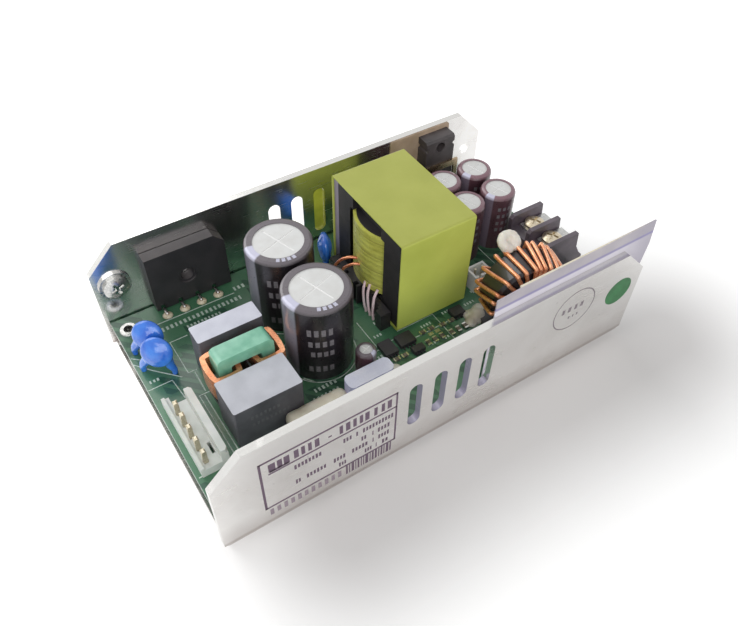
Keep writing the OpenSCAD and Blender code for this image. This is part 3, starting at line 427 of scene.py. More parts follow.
def ferrite_block(edge, leg):
    """Sintered ferrite, matt and slightly pitted, with a lilac-grey end face on one outer leg."""
    made = Finish("ferrite_block")
    tone = made.tone(3)
    body = made.mixed(tone, (40, 38, 40), (28, 27, 29))
    face = made.spread(made.along("X"), edge, edge + 0.4 * MM, 1.0, 0.0)
    outer = made.spread(made.along("Y"), leg, leg + 0.2 * MM)
    made.colour(made.mixed(made.sums("MULTIPLY", face, outer), body, (150, 142, 158)))
    pits = made.noise(0.12 * MM, 2)
    made.roughness(made.spread(pits, 0.3, 0.7, 0.5, 0.68))
    made.bump(pits, 0.02 * MM, 0.5)
    return made.material


def ink(name, light, dark, rough=(0.45, 0.6)):
    """Printed ink: thin, a little patchy."""
    made = Finish(name)
    patch = made.spread(made.noise(0.5 * MM, 3, 0.6), 0.35, 0.7)
    made.colour(made.mixed(patch, light, dark))
    made.gloss(0.2, *rough, 2)
    made.bump(patch, 0.004 * MM, 0.4)
    return made.material


def corners(node):
    """A node's lowest and highest corners, in millimetres."""
    low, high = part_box(node)
    return low / MM, high / MM


def middle(node):
    low, high = corners(node)
    return (low + high) / 2


LOOKS = {
    "bracket_aluminium": sheet_aluminium(),
    "circuit_board": solder_mask(),
    "milky_film": milky_sheet(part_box("wall_film")[1].z),
    # box finishes: upper faces painted paler than the sides, painted light
    "grey_box": box_capacitor("grey_box", (84, 84, 90), (68, 68, 74), (196, 198, 206),
                              (184, 186, 194)),
    "lilac_box": box_capacitor("lilac_box", (190, 191, 224), (176, 178, 210), (240, 242, 255),
                               (230, 233, 252)),
    "copper_wire": enamelled_copper(),
    "ferrite": ferrite_block(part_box("core_upper")[0].x + 0.1 * MM,
                             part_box("core_upper")[1].y - 2.2 * MM),
    "yellow_tape": box_tape(),
}
LOOKS.update((slot, plain(slot, *shades, **more)) for slot, *shades, more in (
    ("insulator_sheet", (60, 74, 68), (44, 56, 52), dict(rough=(0.4, 0.5))),
    ("white_nylon", (222, 223, 219), (204, 208, 202),
     dict(rough=(0.42, 0.56), Subsurface_Weight=0.05)),
    ("cream_ceramic", (226, 219, 204), (206, 198, 178), dict(rough=(0.3, 0.45))),
    ("mint_ferrite", (136, 196, 170), (112, 178, 150),
     dict(blotch=3 * MM, rough=(0.28, 0.42), Coat_Weight=0.3)),
    ("black_plastic", (44, 41, 44), (30, 28, 31), dict(rough=(0.35, 0.5))),
    ("blue_coating", (60, 132, 232), (40, 106, 214),
     dict(blotch=3 * MM, rough=(0.16, 0.28), Coat_Weight=0.5)),
    ("black_epoxy", (38, 36, 37), (27, 26, 27), dict(grain=0.15 * MM, rough=(0.42, 0.58))),
    ("lead_wires", (246, 230, 232), (232, 200, 206), dict(rough=(0.25, 0.4))),
    ("tan_pad", (186, 164, 142), (166, 144, 122), dict(rough=(0.5, 0.65))),
    ("ring_black", (42, 38, 42), (28, 26, 30), dict(rough=(0.28, 0.42), Coat_Weight=0.4)),
    ("silicone", (238, 232, 220), (216, 200, 188), dict(rough=(0.25, 0.4), Subsurface_Weight=0.1)),
    ("chip_black", (52, 50, 54), (36, 35, 38), dict(rough=(0.4, 0.55))),
    ("chip_tan", (150, 138, 118), (110, 100, 88), dict(blotch=1.5 * MM, rough=(0.35, 0.5))),
))
LOOKS.update((slot, bright_metal(slot, *shades, **more)) for slot, *shades, more in (
    ("plated_steel", (205, 205, 203), (176, 176, 174), {}),
    ("tinned_pin", (214, 208, 190), (188, 178, 152), dict(rough=(0.4, 0.55))),
    ("tinned_lead", (210, 209, 206), (180, 178, 174), dict(grain=0.3 * MM)),
    ("tan_metal", (196, 176, 150), (168, 146, 118), {}),
    ("screw_brass", (216, 206, 186), (186, 172, 144), dict(rough=(0.32, 0.46))),
))


def sleeve_look(node, light, dark, band, mark=None, curl_highlight=(112, 105, 111)):
    low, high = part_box(node)
    centre = ((low.x + high.x) / 2, (low.y + high.y) / 2, 0)
    return shrink_sleeve(node + "_vinyl", light, dark, centre, band, high.z, mark, curl_highlight)


DARK = ((39, 34, 38), (28, 24, 28))
PLUM = ((92, 62, 70), (68, 44, 52))
NODE_LOOKS = {
    "supply_sleeve": sleeve_look("supply_sleeve", *PLUM, (5.2, 0.35)),
    "transformer_winding": wound_tape(),
    # painted light: a paler copy of the X-capacitor grey for the rear one
    "x_cap_rear": box_capacitor("grey_box_lit_copy", (104, 103, 110), (86, 85, 92), (216, 218, 230),
                                (204, 206, 219)),
    # painted sheen: the terminal plastic is painted a lighter purple-grey for the sheen on its fins
    "terminal_body": plain("terminal_plastic", (110, 97, 108), (84, 75, 84), rough=(0.3, 0.44),
                           Coat_Weight=0.3),
    # the bridge's upper face is painted paler than its sides, a painted sheen
    "bridge_rectifier": box_capacitor("bridge_epoxy", (42, 39, 41), (30, 28, 30), (88, 83, 84),
                                      (74, 70, 71)),
    # painted light: a brighter copy of the white nylon, offsetting the shade the header stands in
    "remote_header": plain("header_white_lit_copy", (248, 248, 244), (238, 239, 234), rough=(0.4, 0.52),
                           Subsurface_Weight=0.1),
    "output_rectifier": plain("power_device", (78, 72, 73), (56, 52, 53), grain=0.15 * MM,
                              rough=(0.42, 0.58)),
}
for end, turn in (("front", 3.27), ("rear", 3.2)):
    node = "bulk_sleeve_" + end
    NODE_LOOKS[node] = sleeve_look(node, *DARK, (turn, 0.3), (128, 126, 138))
# the last colour is the lighter tone of the curled lip, a painted highlight
for count in range(1, 5):
    node = f"output_sleeve_{count}"
    NODE_LOOKS[node] = sleeve_look(node, *PLUM, (3.5, 0.28), (120, 108, 122), (138, 104, 114))
for node in ("bulk_can_front", "bulk_can_rear", "output_cans", "supply_can"):
    NODE_LOOKS[node] = can_lid(node + "_lid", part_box(node)[1].z)
slot_of = {row["node"]: row["material_slot"] for row in frame["record"]["subparts"]}
for node, body in nodes.items():
    look = NODE_LOOKS.get(node) or LOOKS[slot_of[node]]
    for holder in body.material_slots:
        holder.material = look


# ---- making pieces

def piece(name, mesh, replaced=()):
    """A finished mesh in metres becomes a piece of the supply."""
    work = bmesh.new()
    work.from_mesh(mesh)
    bmesh.ops.remove_doubles(work, verts=work.verts, dist=1e-7)
    bmesh.ops.recalc_face_normals(work, faces=work.faces)
    work.to_mesh(mesh)
    work.free()
    mesh.name = name
    made = new_object(name, mesh)
    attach(made, "root")
    if replaced:
        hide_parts(*replaced)
    return made


def modelled(holder):
    """The evaluated shape of a scaffold object, which is then thrown away."""
    graph = bpy.context.evaluated_depsgraph_get()
    mesh = bpy.data.meshes.new_from_object(holder.evaluated_get(graph), depsgraph=graph)
    old = holder.data
    bpy.data.objects.remove(holder)
    bpy.data.meshes.remove(old)
    return mesh


def scaffold(name, points, edges):
    mesh = bpy.data.meshes.new(name + "_scaffold")
    mesh.from_pydata([Vector(p) * MM for p in points], edges, [])
    return new_object(name + "_scaffold", mesh)


class Tree:
    """A Geometry Nodes tree whose inputs are the sizes that its piece needs."""

    def __init__(self, name, **inputs):
        self.group = bpy.data.node_groups.new(name, "GeometryNodeTree")
        face = self.group.interface
        face.new_socket("Geometry", in_out="INPUT", socket_type="NodeSocketGeometry")
        for label, kind in inputs.items():
            face.new_socket(label, in_out="INPUT", socket_type="NodeSocket" + kind)
        face.new_socket("Geometry", in_out="OUTPUT", socket_type="NodeSocketGeometry")
        self.given = add_node(self.group, "NodeGroupInput").outputs

    def node(self, kind, sockets=(), **settings):
        return add_node(self.group, "GeometryNode" + kind, sockets, **settings)

    def finish(self, geometry, material=None):
        whole = self.node("RealizeInstances", {0: geometry}).outputs[0]
        if material:
            whole = self.node("SetMaterial", {"Geometry": whole, "Material": material}).outputs[0]
        add_node(self.group, "NodeGroupOutput", {0: whole})

    def scatter(self, shape, material=None):
        """Puts the shape at every point, with that point's own size and turn."""
        size, turn = (self.node("InputNamedAttribute", {"Name": label},
                                data_type="FLOAT_VECTOR").outputs[0] for label in ("size", "turn"))
        euler = add_node(self.group, "FunctionNodeEulerToRotation", {0: turn}).outputs[0]
        put = self.node("InstanceOnPoints", {
            "Points": self.given["Geometry"], "Instance": shape, "Rotation": euler, "Scale": size})
        self.finish(put.outputs[0], material)

    def grow(self, name, points, edges, vectors=None, **values):
        holder = scaffold(name, points, edges)
        for label, rows in (vectors or {}).items():
            layer = holder.data.attributes.new(label, "FLOAT_VECTOR", "POINT")
            layer.data.foreach_set("vector", [c for row in rows for c in row])
        modifier = holder.modifiers.new("grow", "NODES")
        modifier.node_group = self.group
        for label, value in values.items():
            modifier[self.group.interface.items_tree[label].identifier] = value
        return modelled(holder)


def wire_tree():
    """A round wire swept along each path of edges."""
    tree = Tree("round_wire", Radius="Float", Sides="Int", Steps="Int", Finish="Material")
    curve = tree.node("MeshToCurve", {0: tree.given["Geometry"]}).outputs[0]
    curve = tree.node("CurveSplineType", {"Curve": curve}, spline_type="CATMULL_ROM").outputs[0]
    curve = tree.node("SetSplineResolution",
                      {"Geometry": curve, "Resolution": tree.given["Steps"]}).outputs[0]
    ring = tree.node("CurvePrimitiveCircle",
                     {"Resolution": tree.given["Sides"], "Radius": tree.given["Radius"]})
    tube = tree.node("CurveToMesh",
                     {"Curve": curve, "Profile Curve": ring.outputs[0], "Fill Caps": True})
    round_off = tree.node("SetShadeSmooth", {"Geometry": tube.outputs[0], "Shade Smooth": True})
    tree.finish(round_off.outputs[0], tree.given["Finish"])
    return tree


def stripe_tree():
    """A flat stripe laid along each path, as printed lines are."""
    tree = Tree("flat_stripe", Width="Float", Thickness="Float", Finish="Material")
    curve = tree.node("MeshToCurve", {0: tree.given["Geometry"]}).outputs[0]
    curve = tree.node("SetCurveNormal", {"Curve": curve}, mode="Z_UP").outputs[0]
    bar = tree.node("CurvePrimitiveQuadrilateral",
                    {"Width": tree.given["Width"], "Height": tree.given["Thickness"]})
    tube = tree.node("CurveToMesh",
                     {"Curve": curve, "Profile Curve": bar.outputs[0], "Fill Caps": True})
    tree.finish(tube.outputs[0], tree.given["Finish"])
    return tree


def block_tree():
    """A small block at every point, with its own size and turn."""
    tree = Tree("blocks", Finish="Material")
    cube = tree.node("MeshCube", {"Size": (1, 1, 1)}).outputs["Mesh"]
    tree.scatter(cube, tree.given["Finish"])
    return tree


def chip_tree():
    """A chip part at every point: a body between two plated ends."""
    tree = Tree("chip_parts", Body="Material", Ends="Material")
    joined = tree.node("JoinGeometry")
    for shift, span, finish in ((0, (0.6, 0.92, 0.94), "Body"), (-0.39, (0.22, 1, 1), "Ends"),
                                (0.39, (0.22, 1, 1), "Ends")):
        cube = tree.node("MeshCube", {"Size": span}).outputs["Mesh"]
        moved = tree.node("Transform", {"Geometry": cube, "Translation": (shift, 0, 0)}).outputs[0]
        painted = tree.node("SetMaterial",
                            {"Geometry": moved, "Material": tree.given[finish]}).outputs[0]
        tree.group.links.new(painted, joined.inputs[0])
    tree.scatter(joined.outputs[0])
    return tree


round_wire, flat_stripe, blocks, chips = wire_tree(), stripe_tree(), block_tree(), chip_tree()


def chained(paths, closed=False):
    """Points and edges for several open or closed paths."""
    points, edges = [], []
    for path in paths:
        first = len(points)
        points += path
        edges += [(i, i + 1) for i in range(first, len(points) - 1)]
        if closed:
            edges.append((len(points) - 1, first))
    return points, edges


def wires(name, paths, radius, finish, slot, replaced=(), sides=10, steps=6):
    points, edges = chained(paths)
    mesh = round_wire.grow(name, points, edges, Radius=radius * MM, Sides=sides, Steps=steps,
                           Finish=finish)
    return piece(name, mesh, replaced)


def block_print(name, rows, finish):
    """rows: centre, size and turn of each block, in millimetres."""
    points = [r[0] for r in rows]
    mesh = blocks.grow(name, points, [], {
        "size": [tuple(c * MM for c in r[1]) for r in rows],
        "turn": [r[2] if len(r) > 2 else (0, 0, 0) for r in rows],
    }, Finish=finish)
    return piece(name, mesh)


def ring_of(u, v, radius, count, start=0.0):
    """Pairs of coordinates evenly round a circle."""
    angles = (start + FULL_TURN * i / count for i in range(count))
    return [(u + radius * math.cos(a), v + radius * math.sin(a)) for a in angles]


def loft(work, rings):
    """Adds a closed skin through rings of points, in millimetres, with a flat cap at each end."""
    rings = [[work.verts.new(Vector(point) * MM) for point in ring] for ring in rings]
    count = len(rings[0])
    for one, two in zip(rings, rings[1:]):
        for i in range(count):
            after = (i + 1) % count
            work.faces.new((one[i], one[after], two[after], two[i]))
    work.faces.new(rings[0][::-1])
    work.faces.new(rings[-1])


def skinned(name, work, finish, replaced=(), smooth=True):
    """A finished bmesh becomes a piece in one finish."""
    mesh = bpy.data.meshes.new(name)
    work.to_mesh(mesh)
    work.free()
    mesh.materials.append(finish)
    mesh.polygons.foreach_set("use_smooth", [smooth] * len(mesh.polygons))
    piece(name, mesh, replaced)


# ---- ring choke

def ring_choke():
    """Fifteen turns of enamelled wire round the toroid, each stepping on across the rim."""
    low, high = corners("ring_core")
    centre = (low + high) / 2
    yaw = math.radians(-15)
    along = Vector((math.cos(yaw), math.sin(yaw), 0))
    front = Vector((math.sin(yaw), -math.cos(yaw), 0))
    rear_rim = (212, 193, 175, 151, 128, 115, 98, 83, 74, 58, 46, 34, 20, 5, -12)
    front_rim = (190, 170, 156, 135, 119, 107, 93, 86, 79, 70, 58, 45, 30, 14, -2)
    reach, half = 11.35, 4.95

    def at(radius, angle, depth):
        a = math.radians(angle)
        return tuple(centre + along * radius * math.cos(a)
                     + Vector((0, 0, 1)) * radius * math.sin(a) + front * depth)

    path = []
    for k in range(15):
        bore = 4.5 if k % 2 else 3.4
        path += [at(reach, rear_rim[k], 0.8 - half), at(reach, front_rim[k], half - 0.8)]
        path += [at(reach - 0.8, front_rim[k], half),
                 at((reach + bore) / 2, front_rim[k] + 0.5, half + 0.12)]
        after = rear_rim[k + 1] if k < 14 else front_rim[k] - 8
        inside = (front_rim[k] + after) / 2
        path += [at(bore + 0.9, inside + 2, half), at(bore, inside, half - 1),
                 at(bore, inside, 1 - half),
                 at(bore + 0.9, after + 1, -half), at(reach - 0.8, after, -half)]
    wires("ring_winding_turns", [path], 0.56, LOOKS["copper_wire"], "copper_wire",
          ("ring_winding",), 12, 5)


ring_choke()


# ---- transformer leads

def flying_leads():
    """Two enamelled leads arch out to the board; three sleeved ones drop beside the core."""
    side = corners("transformer_winding")[0].x
    y = middle("transformer_winding").y
    top = corners("board")[1].z
    z = top + 11

    def lead(high, low):
        """Points beside the winding, then points measured up from the board."""
        return [(side + a, y + b, base + c) for base, run in ((z, high), (top, low)) for a, b,
                c in run]

    bare = [
        lead(((0.3, 2.2, 3), (-1.6, 3.2, 3.4), (-3.8, 4.8, 1.8), (-5.3, 5.9, -2)),
             ((-5.7, 6.2, 2.4), (-5.7, 6.2, 0))),
        lead(((0.2, 0.6, 2), (-1.4, 1.4, 2.2), (-3.4, 3, 0.4), (-4.7, 3.9, -3.2)),
             ((-5, 4, 2.4), (-5, 4, 0))),
    ]
    wires("winding_leads_bare", bare, 0.42,
          enamelled_copper("lead_copper", (226, 150, 108), (196, 112, 78)),
          "copper_wire", ("primary_leads",), 10, 8)
    sleeved = [
        lead(((0.4, -2, -2.4), (-0.8, -2.9, -4.6)),
             ((-1.3, -4.2, 2.4), (-1.2, -4.9, 0.6), (-1.2, -4.9, -0.3))),
        lead(((0.6, -4, -2), (-0.7, -4.9, -4.6)),
             ((-1.2, -6.2, 2.4), (-1.1, -6.8, 0.6), (-1.1, -6.8, -0.3))),
        lead(((1.4, -6.8, -2.2), (-0.2, -7.4, -4.2)),
             ((-1.1, -8.2, 2.4), (-1.2, -8.7, 0.6), (-1.2, -8.7, -0.3))),
    ]
    wires("winding_leads_sleeved", sleeved, 0.4, LOOKS["lead_wires"], "lead_wires", (), 10, 4)


flying_leads()


# ---- disc capacitors and silicone

def melted(name, parts, voxel, smooth, finish, replaced, floor=None):
    """Overlapping lumps run together into one soft skin. parts: centre, radii, rotation about Z."""
    work = bmesh.new()
    for centre, radii, turn, *tilt in parts:
        made = bmesh.ops.create_icosphere(work, subdivisions=3, radius=1)["verts"]
        place = (Matrix.Translation(Vector(centre) * MM) @ Matrix.Rotation(turn, 4, "Z")
                 @ Matrix.Rotation(tilt[0] if tilt else 0, 4, "X")
                 @ Matrix.Diagonal((*(r * MM for r in radii), 1)))
        bmesh.ops.transform(work, matrix=place, verts=made)
    holder = scaffold(name, [], [])
    work.to_mesh(holder.data)
    work.free()
    skin = holder.modifiers.new("skin", "REMESH")
    skin.mode, skin.voxel_size, skin.use_smooth_shade = "VOXEL", voxel * MM, True
    ease = holder.modifiers.new("ease", "SMOOTH")
    ease.factor, ease.iterations = 0.6, smooth
    mesh = modelled(holder)
    if floor is not None:
        for vertex in mesh.vertices:
            vertex.co.z = max(vertex.co.z, floor * MM)
    mesh.materials.clear()
    mesh.materials.append(finish)
    mesh.polygons.foreach_set("use_smooth", [True] * len(mesh.polygons))
    piece(name, mesh, replaced)


def disc_capacitor(node, place, turn, half, rise, lean, back=0.42):
    """Dipped disc with its coating run down two splayed legs."""
    top = corners("board")[1].z
    angle = math.radians(turn)
    along = Vector((math.cos(angle), math.sin(angle), 0))
    base = Vector((place[0], place[1], top + rise))
    tilt = -back if along.x > 0.5 else back
    centre = tuple(base + along * lean)
    parts = [(centre, (4.25, 1.75, 4.25), angle, tilt), (centre, (3.5, 2.15, 3.5), angle, tilt)]
    for s in (-1, 1):
        stops = [Vector((s * half, 0, -rise)), Vector((s * half, 0, -rise + 1.6)),
                 Vector((s * (half - 0.7), 0, -rise + 3.2)), Vector((s * 1.9 + lean, 0, -1.8))]
        radii = (0.78, 0.9, 1.2, 1.75)
        for (a, ra), (b, rb) in zip(zip(stops, radii), zip(stops[1:], radii[1:])):
            for i in range(7):
                t = i / 6
                spot = a.lerp(b, t)
                r = ra + (rb - ra) * t
                parts.append((tuple(base + along * spot.x + Vector((0, 0, spot.z))),
                              (r, r * 0.95, r), angle))
    melted(node + "_coating", parts, 0.22, 6, LOOKS["blue_coating"], (node,), top)


def disc_capacitors():
    low, high = corners("bracket")
    ac, front, rear = low.x, low.y + SHEET, high.y - SHEET
    disc_capacitor("y_cap_line", (ac + 6.2, front + 53.4), -38, 4.1, 8, 0.8)
    disc_capacitor("y_cap_neutral", (ac + 6, front + 47), -38, 4.1, 8, 0.8)
    disc_capacitor("y_cap_bridge", (-0.2, rear - 10.1), 66, 3, 6.6, -0.6, 0.0)


disc_capacitors()


def fuse_sleeve():
    """Cream sleeve shrunk over the fuse and its caps, waisted where the caps end."""
    low, high = corners("fuse_caps")
    tube = middle("fuse_tube")
    y, z = tube.y, tube.z + 0.35
    x0, x1 = low.x - 0.6, high.x + 0.6
    rings = []
    stations = 32
    for i in range(stations + 1):
        t = i / stations
        end = min(t, 1 - t) * (x1 - x0)
        radius = 1.9 + 1.0 * min(1, end / 1.1) ** 0.5 - 0.12 * math.exp(-((end - 3.6) / 0.7) ** 2)
        rings.append([(x0 + (x1 - x0) * t, u, v) for u, v in ring_of(y, z, radius, 32)])
    work = bmesh.new()
    loft(work, rings)
    cream = plain("fuse_sleeve", (240, 230, 212), (226, 214, 192), blotch=4 * MM,
                  rough=(0.3, 0.42), Subsurface_Weight=0.08)
    skinned("fuse_sleeve", work, cream, ("fuse_tube", "fuse_caps"))
    under, over = corners("board")
    wires("fuse_leads", [[(x, y, under.z - 1), (x, y, over.z + 0.6), (x + s * 0.1, y, z - 0.5),
                          (x - s * 1.2, y, z)] for x, s in ((low.x + 0.3, -1), (high.x - 0.3, 1))],
          0.35, LOOKS["tinned_lead"], "tinned_lead")


fuse_sleeve()


def silicone_beads():
    c = middle("ring_adhesive")
    parts = []
    for i in range(11):
        a = math.radians(-60 + 30 * i)
        parts.append(((c.x + 2.1 * math.cos(a), c.y - 0.3 + 1.7 * math.sin(a),
                       c.z + 0.5 + 0.9 * math.sin(a)),
                      (1.35, 1.35, 1.45 + 0.2 * math.sin(2.3 * i)), 0))
    parts.append(((c.x, c.y - 0.2, c.z - 0.3), (1.9, 1.7, 1.2), 0))
    melted("ring_silicone", parts, 0.25, 8, LOOKS["silicone"], ("ring_adhesive",))
    top = corners("board")[1].z
    front = corners("bracket")[0].y + SHEET
    spots = [(24.6, 18.2, 2.9), (26.6, 19.6, 2.3), (22, 17.2, 1.9), (23, 19.6, 1.8),
             (-5.6, 14.4, 2.1), (-6.9, 15.6, 1.6), (-4.2, 13.4, 1.2)]
    parts = [((x, front + y, top), (r, r, r * 0.8), 0) for x, y, r in spots]
    melted("board_silicone", parts, 0.22, 6, LOOKS["silicone"], ("board_adhesive",),
           top)


silicone_beads()


# ---- printing

PRINT_OUT = 0.01  # how far the middle of a printed block stands out of its surface
PRINT_DEEP = 0.05


def wall_label():
    """Ruled rating panel in plain bars, with no words: frame, header strip, rows, bar field."""
    low = corners("bracket")[0]
    x0, y = low.x, low.y + PRINT_OUT
    ink_dark = ink("label_ink", (84, 66, 84), (104, 86, 102))
    rows = []

    def bar(x, z, w, h):
        rows.append(((x0 + x, y, z), (w, PRINT_DEEP, h)))

    for z, t in ((29.4, 0.62), (10.15, 0.6)):
        bar((11.2 + 46.8) / 2, z, 35.6, t)
    bar(11.35, 19.8, 0.62, 19.8)
    bar(46.6, 19.8, 0.5, 19.8)
    bar(30, 24.1, 33.6, 0.55)
    for x, w in ((14.2, 1.7), (16.1, 1.2), (17.8, 1.4)):
        bar(x, 26.3, w, 3.1)
    bar(16, 24.9, 4.8, 0.7)
    heads = (20.2, 21.9, 23.6, 25.4, 28.7, 31.6, 33.4, 35.2, 36.9, 38.5, 40.8, 42.8, 44.6)
    for k, x in enumerate(heads):
        bar(x, 26.6 if k != 4 else 26.3, 0.9 if k % 3 else 1.15, 3.1 if k != 4 else 0.5)
    for z, spans in (
        (21.4, ((19.2, 26.4), (31.9, 34.4), (35.4, 36.1), (37.2, 45.9))),
        (18.2, ((36.8, 38.4), (39.9, 40.4), (41.4, 45))),
        (15.1, ((19.2, 20.7), (22, 27.4), (29.2, 32.6), (34.2, 38.8), (40, 40.5), (41.6, 44.9))),
        (12.1, ((30.6, 32.8), (37.8, 40), (41, 41.4), (42.7, 44.7))),
    ):
        for a, b in spans:
            count = max(1, round((b - a) / 0.85))
            step = (b - a) / count
            for i in range(count):
                bar(a + step * (i + 0.5), z, step * 0.62, 1.5 if (i * 7) % 3 else 1.75)
    block_print("wall_label_ruling", rows, ink_dark)
    rows.clear()
    for k in range(11):
        bar(12.6 + k * 1.82, 7.8, 0.95, 2.3 if k % 2 else 2.6)
    block_print("wall_label_serial_field", rows,
                ink("label_ink_pale", (132, 118, 128), (150, 138, 146)))
    rows.clear()
    widths = (0.5, 0.3, 0.7, 0.3, 0.5, 0.3, 0.3, 0.8, 0.3, 0.5, 0.6, 0.3, 0.5, 0.3, 0.7, 0.4)
    x = 32.6
    for k, w in enumerate(widths):
        bar(x + w / 2, 7.9, w, 3.8)
        x += w + (0.35, 0.42, 0.38)[k % 3]
    block_print("wall_label_bar_field", rows, ink_dark)


wall_label()


def wall_stamps():
    """A pale ring outline and a round green sticker near the outlet end of the label wall."""
    low = corners("bracket")[0]
    x0, y = low.x, low.y
    ring = ink("stamp_ink", (112, 104, 110), (140, 132, 136))
    loop = [(u, y + 0.02, v) for u, v in ring_of(x0 + 102.5, 25.1, 7, 72)]
    points, edges = chained([loop], closed=True)
    mesh = round_wire.grow("wall_ring_stamp", points, edges, Radius=0.2 * MM, Sides=6, Steps=1,
                           Finish=ring)
    for vertex in mesh.vertices:
        vertex.co.y = (y + (vertex.co.y / MM - y) * 0.2) * MM
    piece("wall_ring_stamp", mesh)
    rows = [((x0 + x, y + PRINT_OUT, z), (w, PRINT_DEEP, h)) for x, z, w, h in (
        (98.6, 25.9, 0.9, 1.9), (100.7, 25.9, 1, 1.9), (102.9, 25.9, 0.9, 1.9), (105, 25.9, 1, 1.9),
        (101.3, 22.5, 0.5, 0.9), (102.8, 22.5, 0.4, 0.9), (104.2, 22.5, 0.5, 0.9))]
    block_print("wall_ring_marks", rows, ring)
    work = bmesh.new()
    loft(work, [[(u, y + depth, v) for u, v in ring_of(x0 + 119.6, 22.4, radius, 64)]
                for radius, depth in ((4.7, 0.03), (4.6, -0.06))])
    green = plain("green_sticker", (40, 118, 64), (30, 96, 50), blotch=3 * MM, rough=(0.4, 0.5),
                  relief=0.01 * MM)
    skinned("green_dot_sticker", work, green, smooth=False)


wall_stamps()


def board_legend():
    """White outlines and plain marks on the board, with the solder round the leads."""
    wall = corners("bracket")[0]
    x0, y0, z = wall.x, wall.y, corners("board")[1].z + PRINT_OUT
    white = ink("legend_white", (214, 226, 216), (176, 198, 184))

    def p(x, y):
        return (x0 + x, y0 + y, z)

    lines = (
        ((17, 56.6), (12, 56.6), (12, 44.6), (14.3, 44.6)),
        ((13.6, 44), (13.4, 37)),
        ((16, 36.3), (11.4, 36.3), (11.4, 14.8)),
        ((12.7, 35.9), (12.7, 14.8)),
        ((1.2, 44.6), (7.6, 44.6), (8.2, 37.6)),
        ((1, 54.6), (4.4, 50.4), (10.2, 44.2)),
        ((1.2, 56.9), (5, 53.6), (5.6, 51)),
        ((11.6, 64.4), (34.6, 64.2)),
        ((58.2, 36), (58.2, 25.6), (63.4, 25.6)),
        ((1.6, 14.8), (5.2, 14.9), (10.8, 14.9)),
        ((36.4, 27.2), (38.6, 24.2)),
        ((64, 23), (91.6, 23)),
        ((78, 16), (78, 27.5), (66, 27.5)),
        ((96, 20), (106, 20), (106, 44)),
        ((50.4, 11), (50.4, 24.6), (62, 24.6)),
    )
    points, edges = chained([[p(x, y) for x, y in line] for line in lines])
    for c in (middle("bulk_sleeve_front"), middle("bulk_sleeve_rear")):
        loop = [(u, v, z) for u, v in ring_of(c.x, c.y, 9.9, 64)]
        more, links = chained([loop], closed=True)
        edges += [(a + len(points), b + len(points)) for a, b in links]
        points += more
    mesh = flat_stripe.grow("board_outlines", points, edges, Width=0.32 * MM, Thickness=0.05 * MM,
                            Finish=white)
    piece("board_outlines", mesh)
    rows = []

    def word(x, y, count, high_mm, pitch=1.2, turn=0.0):
        for i in range(count):
            tall = high_mm * (1, 0.86, 0.94)[i % 3]
            rows.append(((x0 + x + i * pitch * math.cos(turn),
                          y0 + y + i * pitch * math.sin(turn), z),
                         (pitch * (0.42, 0.56, 0.5)[(i * 2) % 3], tall, 0.05), (0, 0, turn)))

    word(12.2, 61.8, 19, 1.5, 1.28)
    word(18.4, 59.4, 10, 0.9, 1.05)
    word(35.4, 65.6, 3, 1.5, 1.3)
    word(35.4, 19.4, 7, 1.5, 1.15)
    word(37, 22, 6, 1.2, 1.15)
    word(2.6, 46.8, 3, 1, 1)
    word(55.6, 22.4, 3, 1, 1)
    for k, (x, y) in enumerate(((64, 25), (68, 29.6), (72.6, 25.2), (76, 18.6), (80.6, 26.2),
                                (84.4, 18.4), (66.4, 16.6), (71.6, 18.8), (88, 25.4),
                                (60.6, 20.4), (59.6, 29), (92.6, 28.6), (62.2, 33.2))):
        word(x, y, 2 + k % 3, 0.9, 0.95)
    block_print("board_marks", rows, white)
    rows.clear()
    for x, y in ((16.2, 22.8), (14.6, 26.4), (64.8, 31.8), (67.4, 31.8), (79.6, 31.6),
                 (82.2, 31.6), (86, 21.4), (88.8, 21.4), (73.4, 21.8), (75.6, 21.8),
                 (94.6, 24.6), (94.6, 27.2)):
        rows.append((p(x, y), (1.5, 1.1, 0.07)))
    pads = bright_metal("bare_pads", (206, 204, 190), (170, 172, 156))
    block_print("board_pads", rows, pads)


board_legend()


def solder_joints():
    """Cream fillets with a brown top at each bridge lead, and the lead ends bent in."""
    top = corners("board")[1].z
    low = corners("bridge_leads")[0]
    wall = corners("bracket")[0]
    work = bmesh.new()
    spots = [(wall.x + x, wall.y + 66.1) for x in (15.4, 20.5, 25.5, 30.6)]
    reach = 1.5
    for x, y in spots:
        profile = ((1, 0.02), (0.82, 0.3), (0.55, 0.62), (0.3, 0.8), (0.001 / reach, 0.72))
        loft(work, [[(u, v, top + h) for u, v in ring_of(x, y, reach * share, 20)] for share,
                    h in profile])
    made = Finish("solder_brown_top", Coat_Weight=0.3)
    level = made.along("Z")
    tone = made.spread(made.noise(0.7 * MM, 3), 0.35, 0.65)
    cream = made.mixed(tone, (236, 226, 200), (214, 198, 164))
    made.colour(made.mixed(made.spread(level, (top + 0.7) * MM, (top + 0.78) * MM), cream,
                           (120, 84, 50)))
    made.gloss(0.3, 0.25, 0.4, 2)
    skinned("bridge_solder", work, made.material, ("bridge_leads",))
    ends = [[(x, y - 0.2, low.z), (x, y - 0.2, top - 1), (x, y - 0.2, top + 0.4),
             (x, y + 0.7, top + 0.75),
             (x, y + 2.2, top + 0.8)] for x, y in spots]
    wires("bridge_lead_ends", ends, 0.42, LOOKS["tinned_lead"], "tinned_lead", (), 8, 4)


solder_joints()


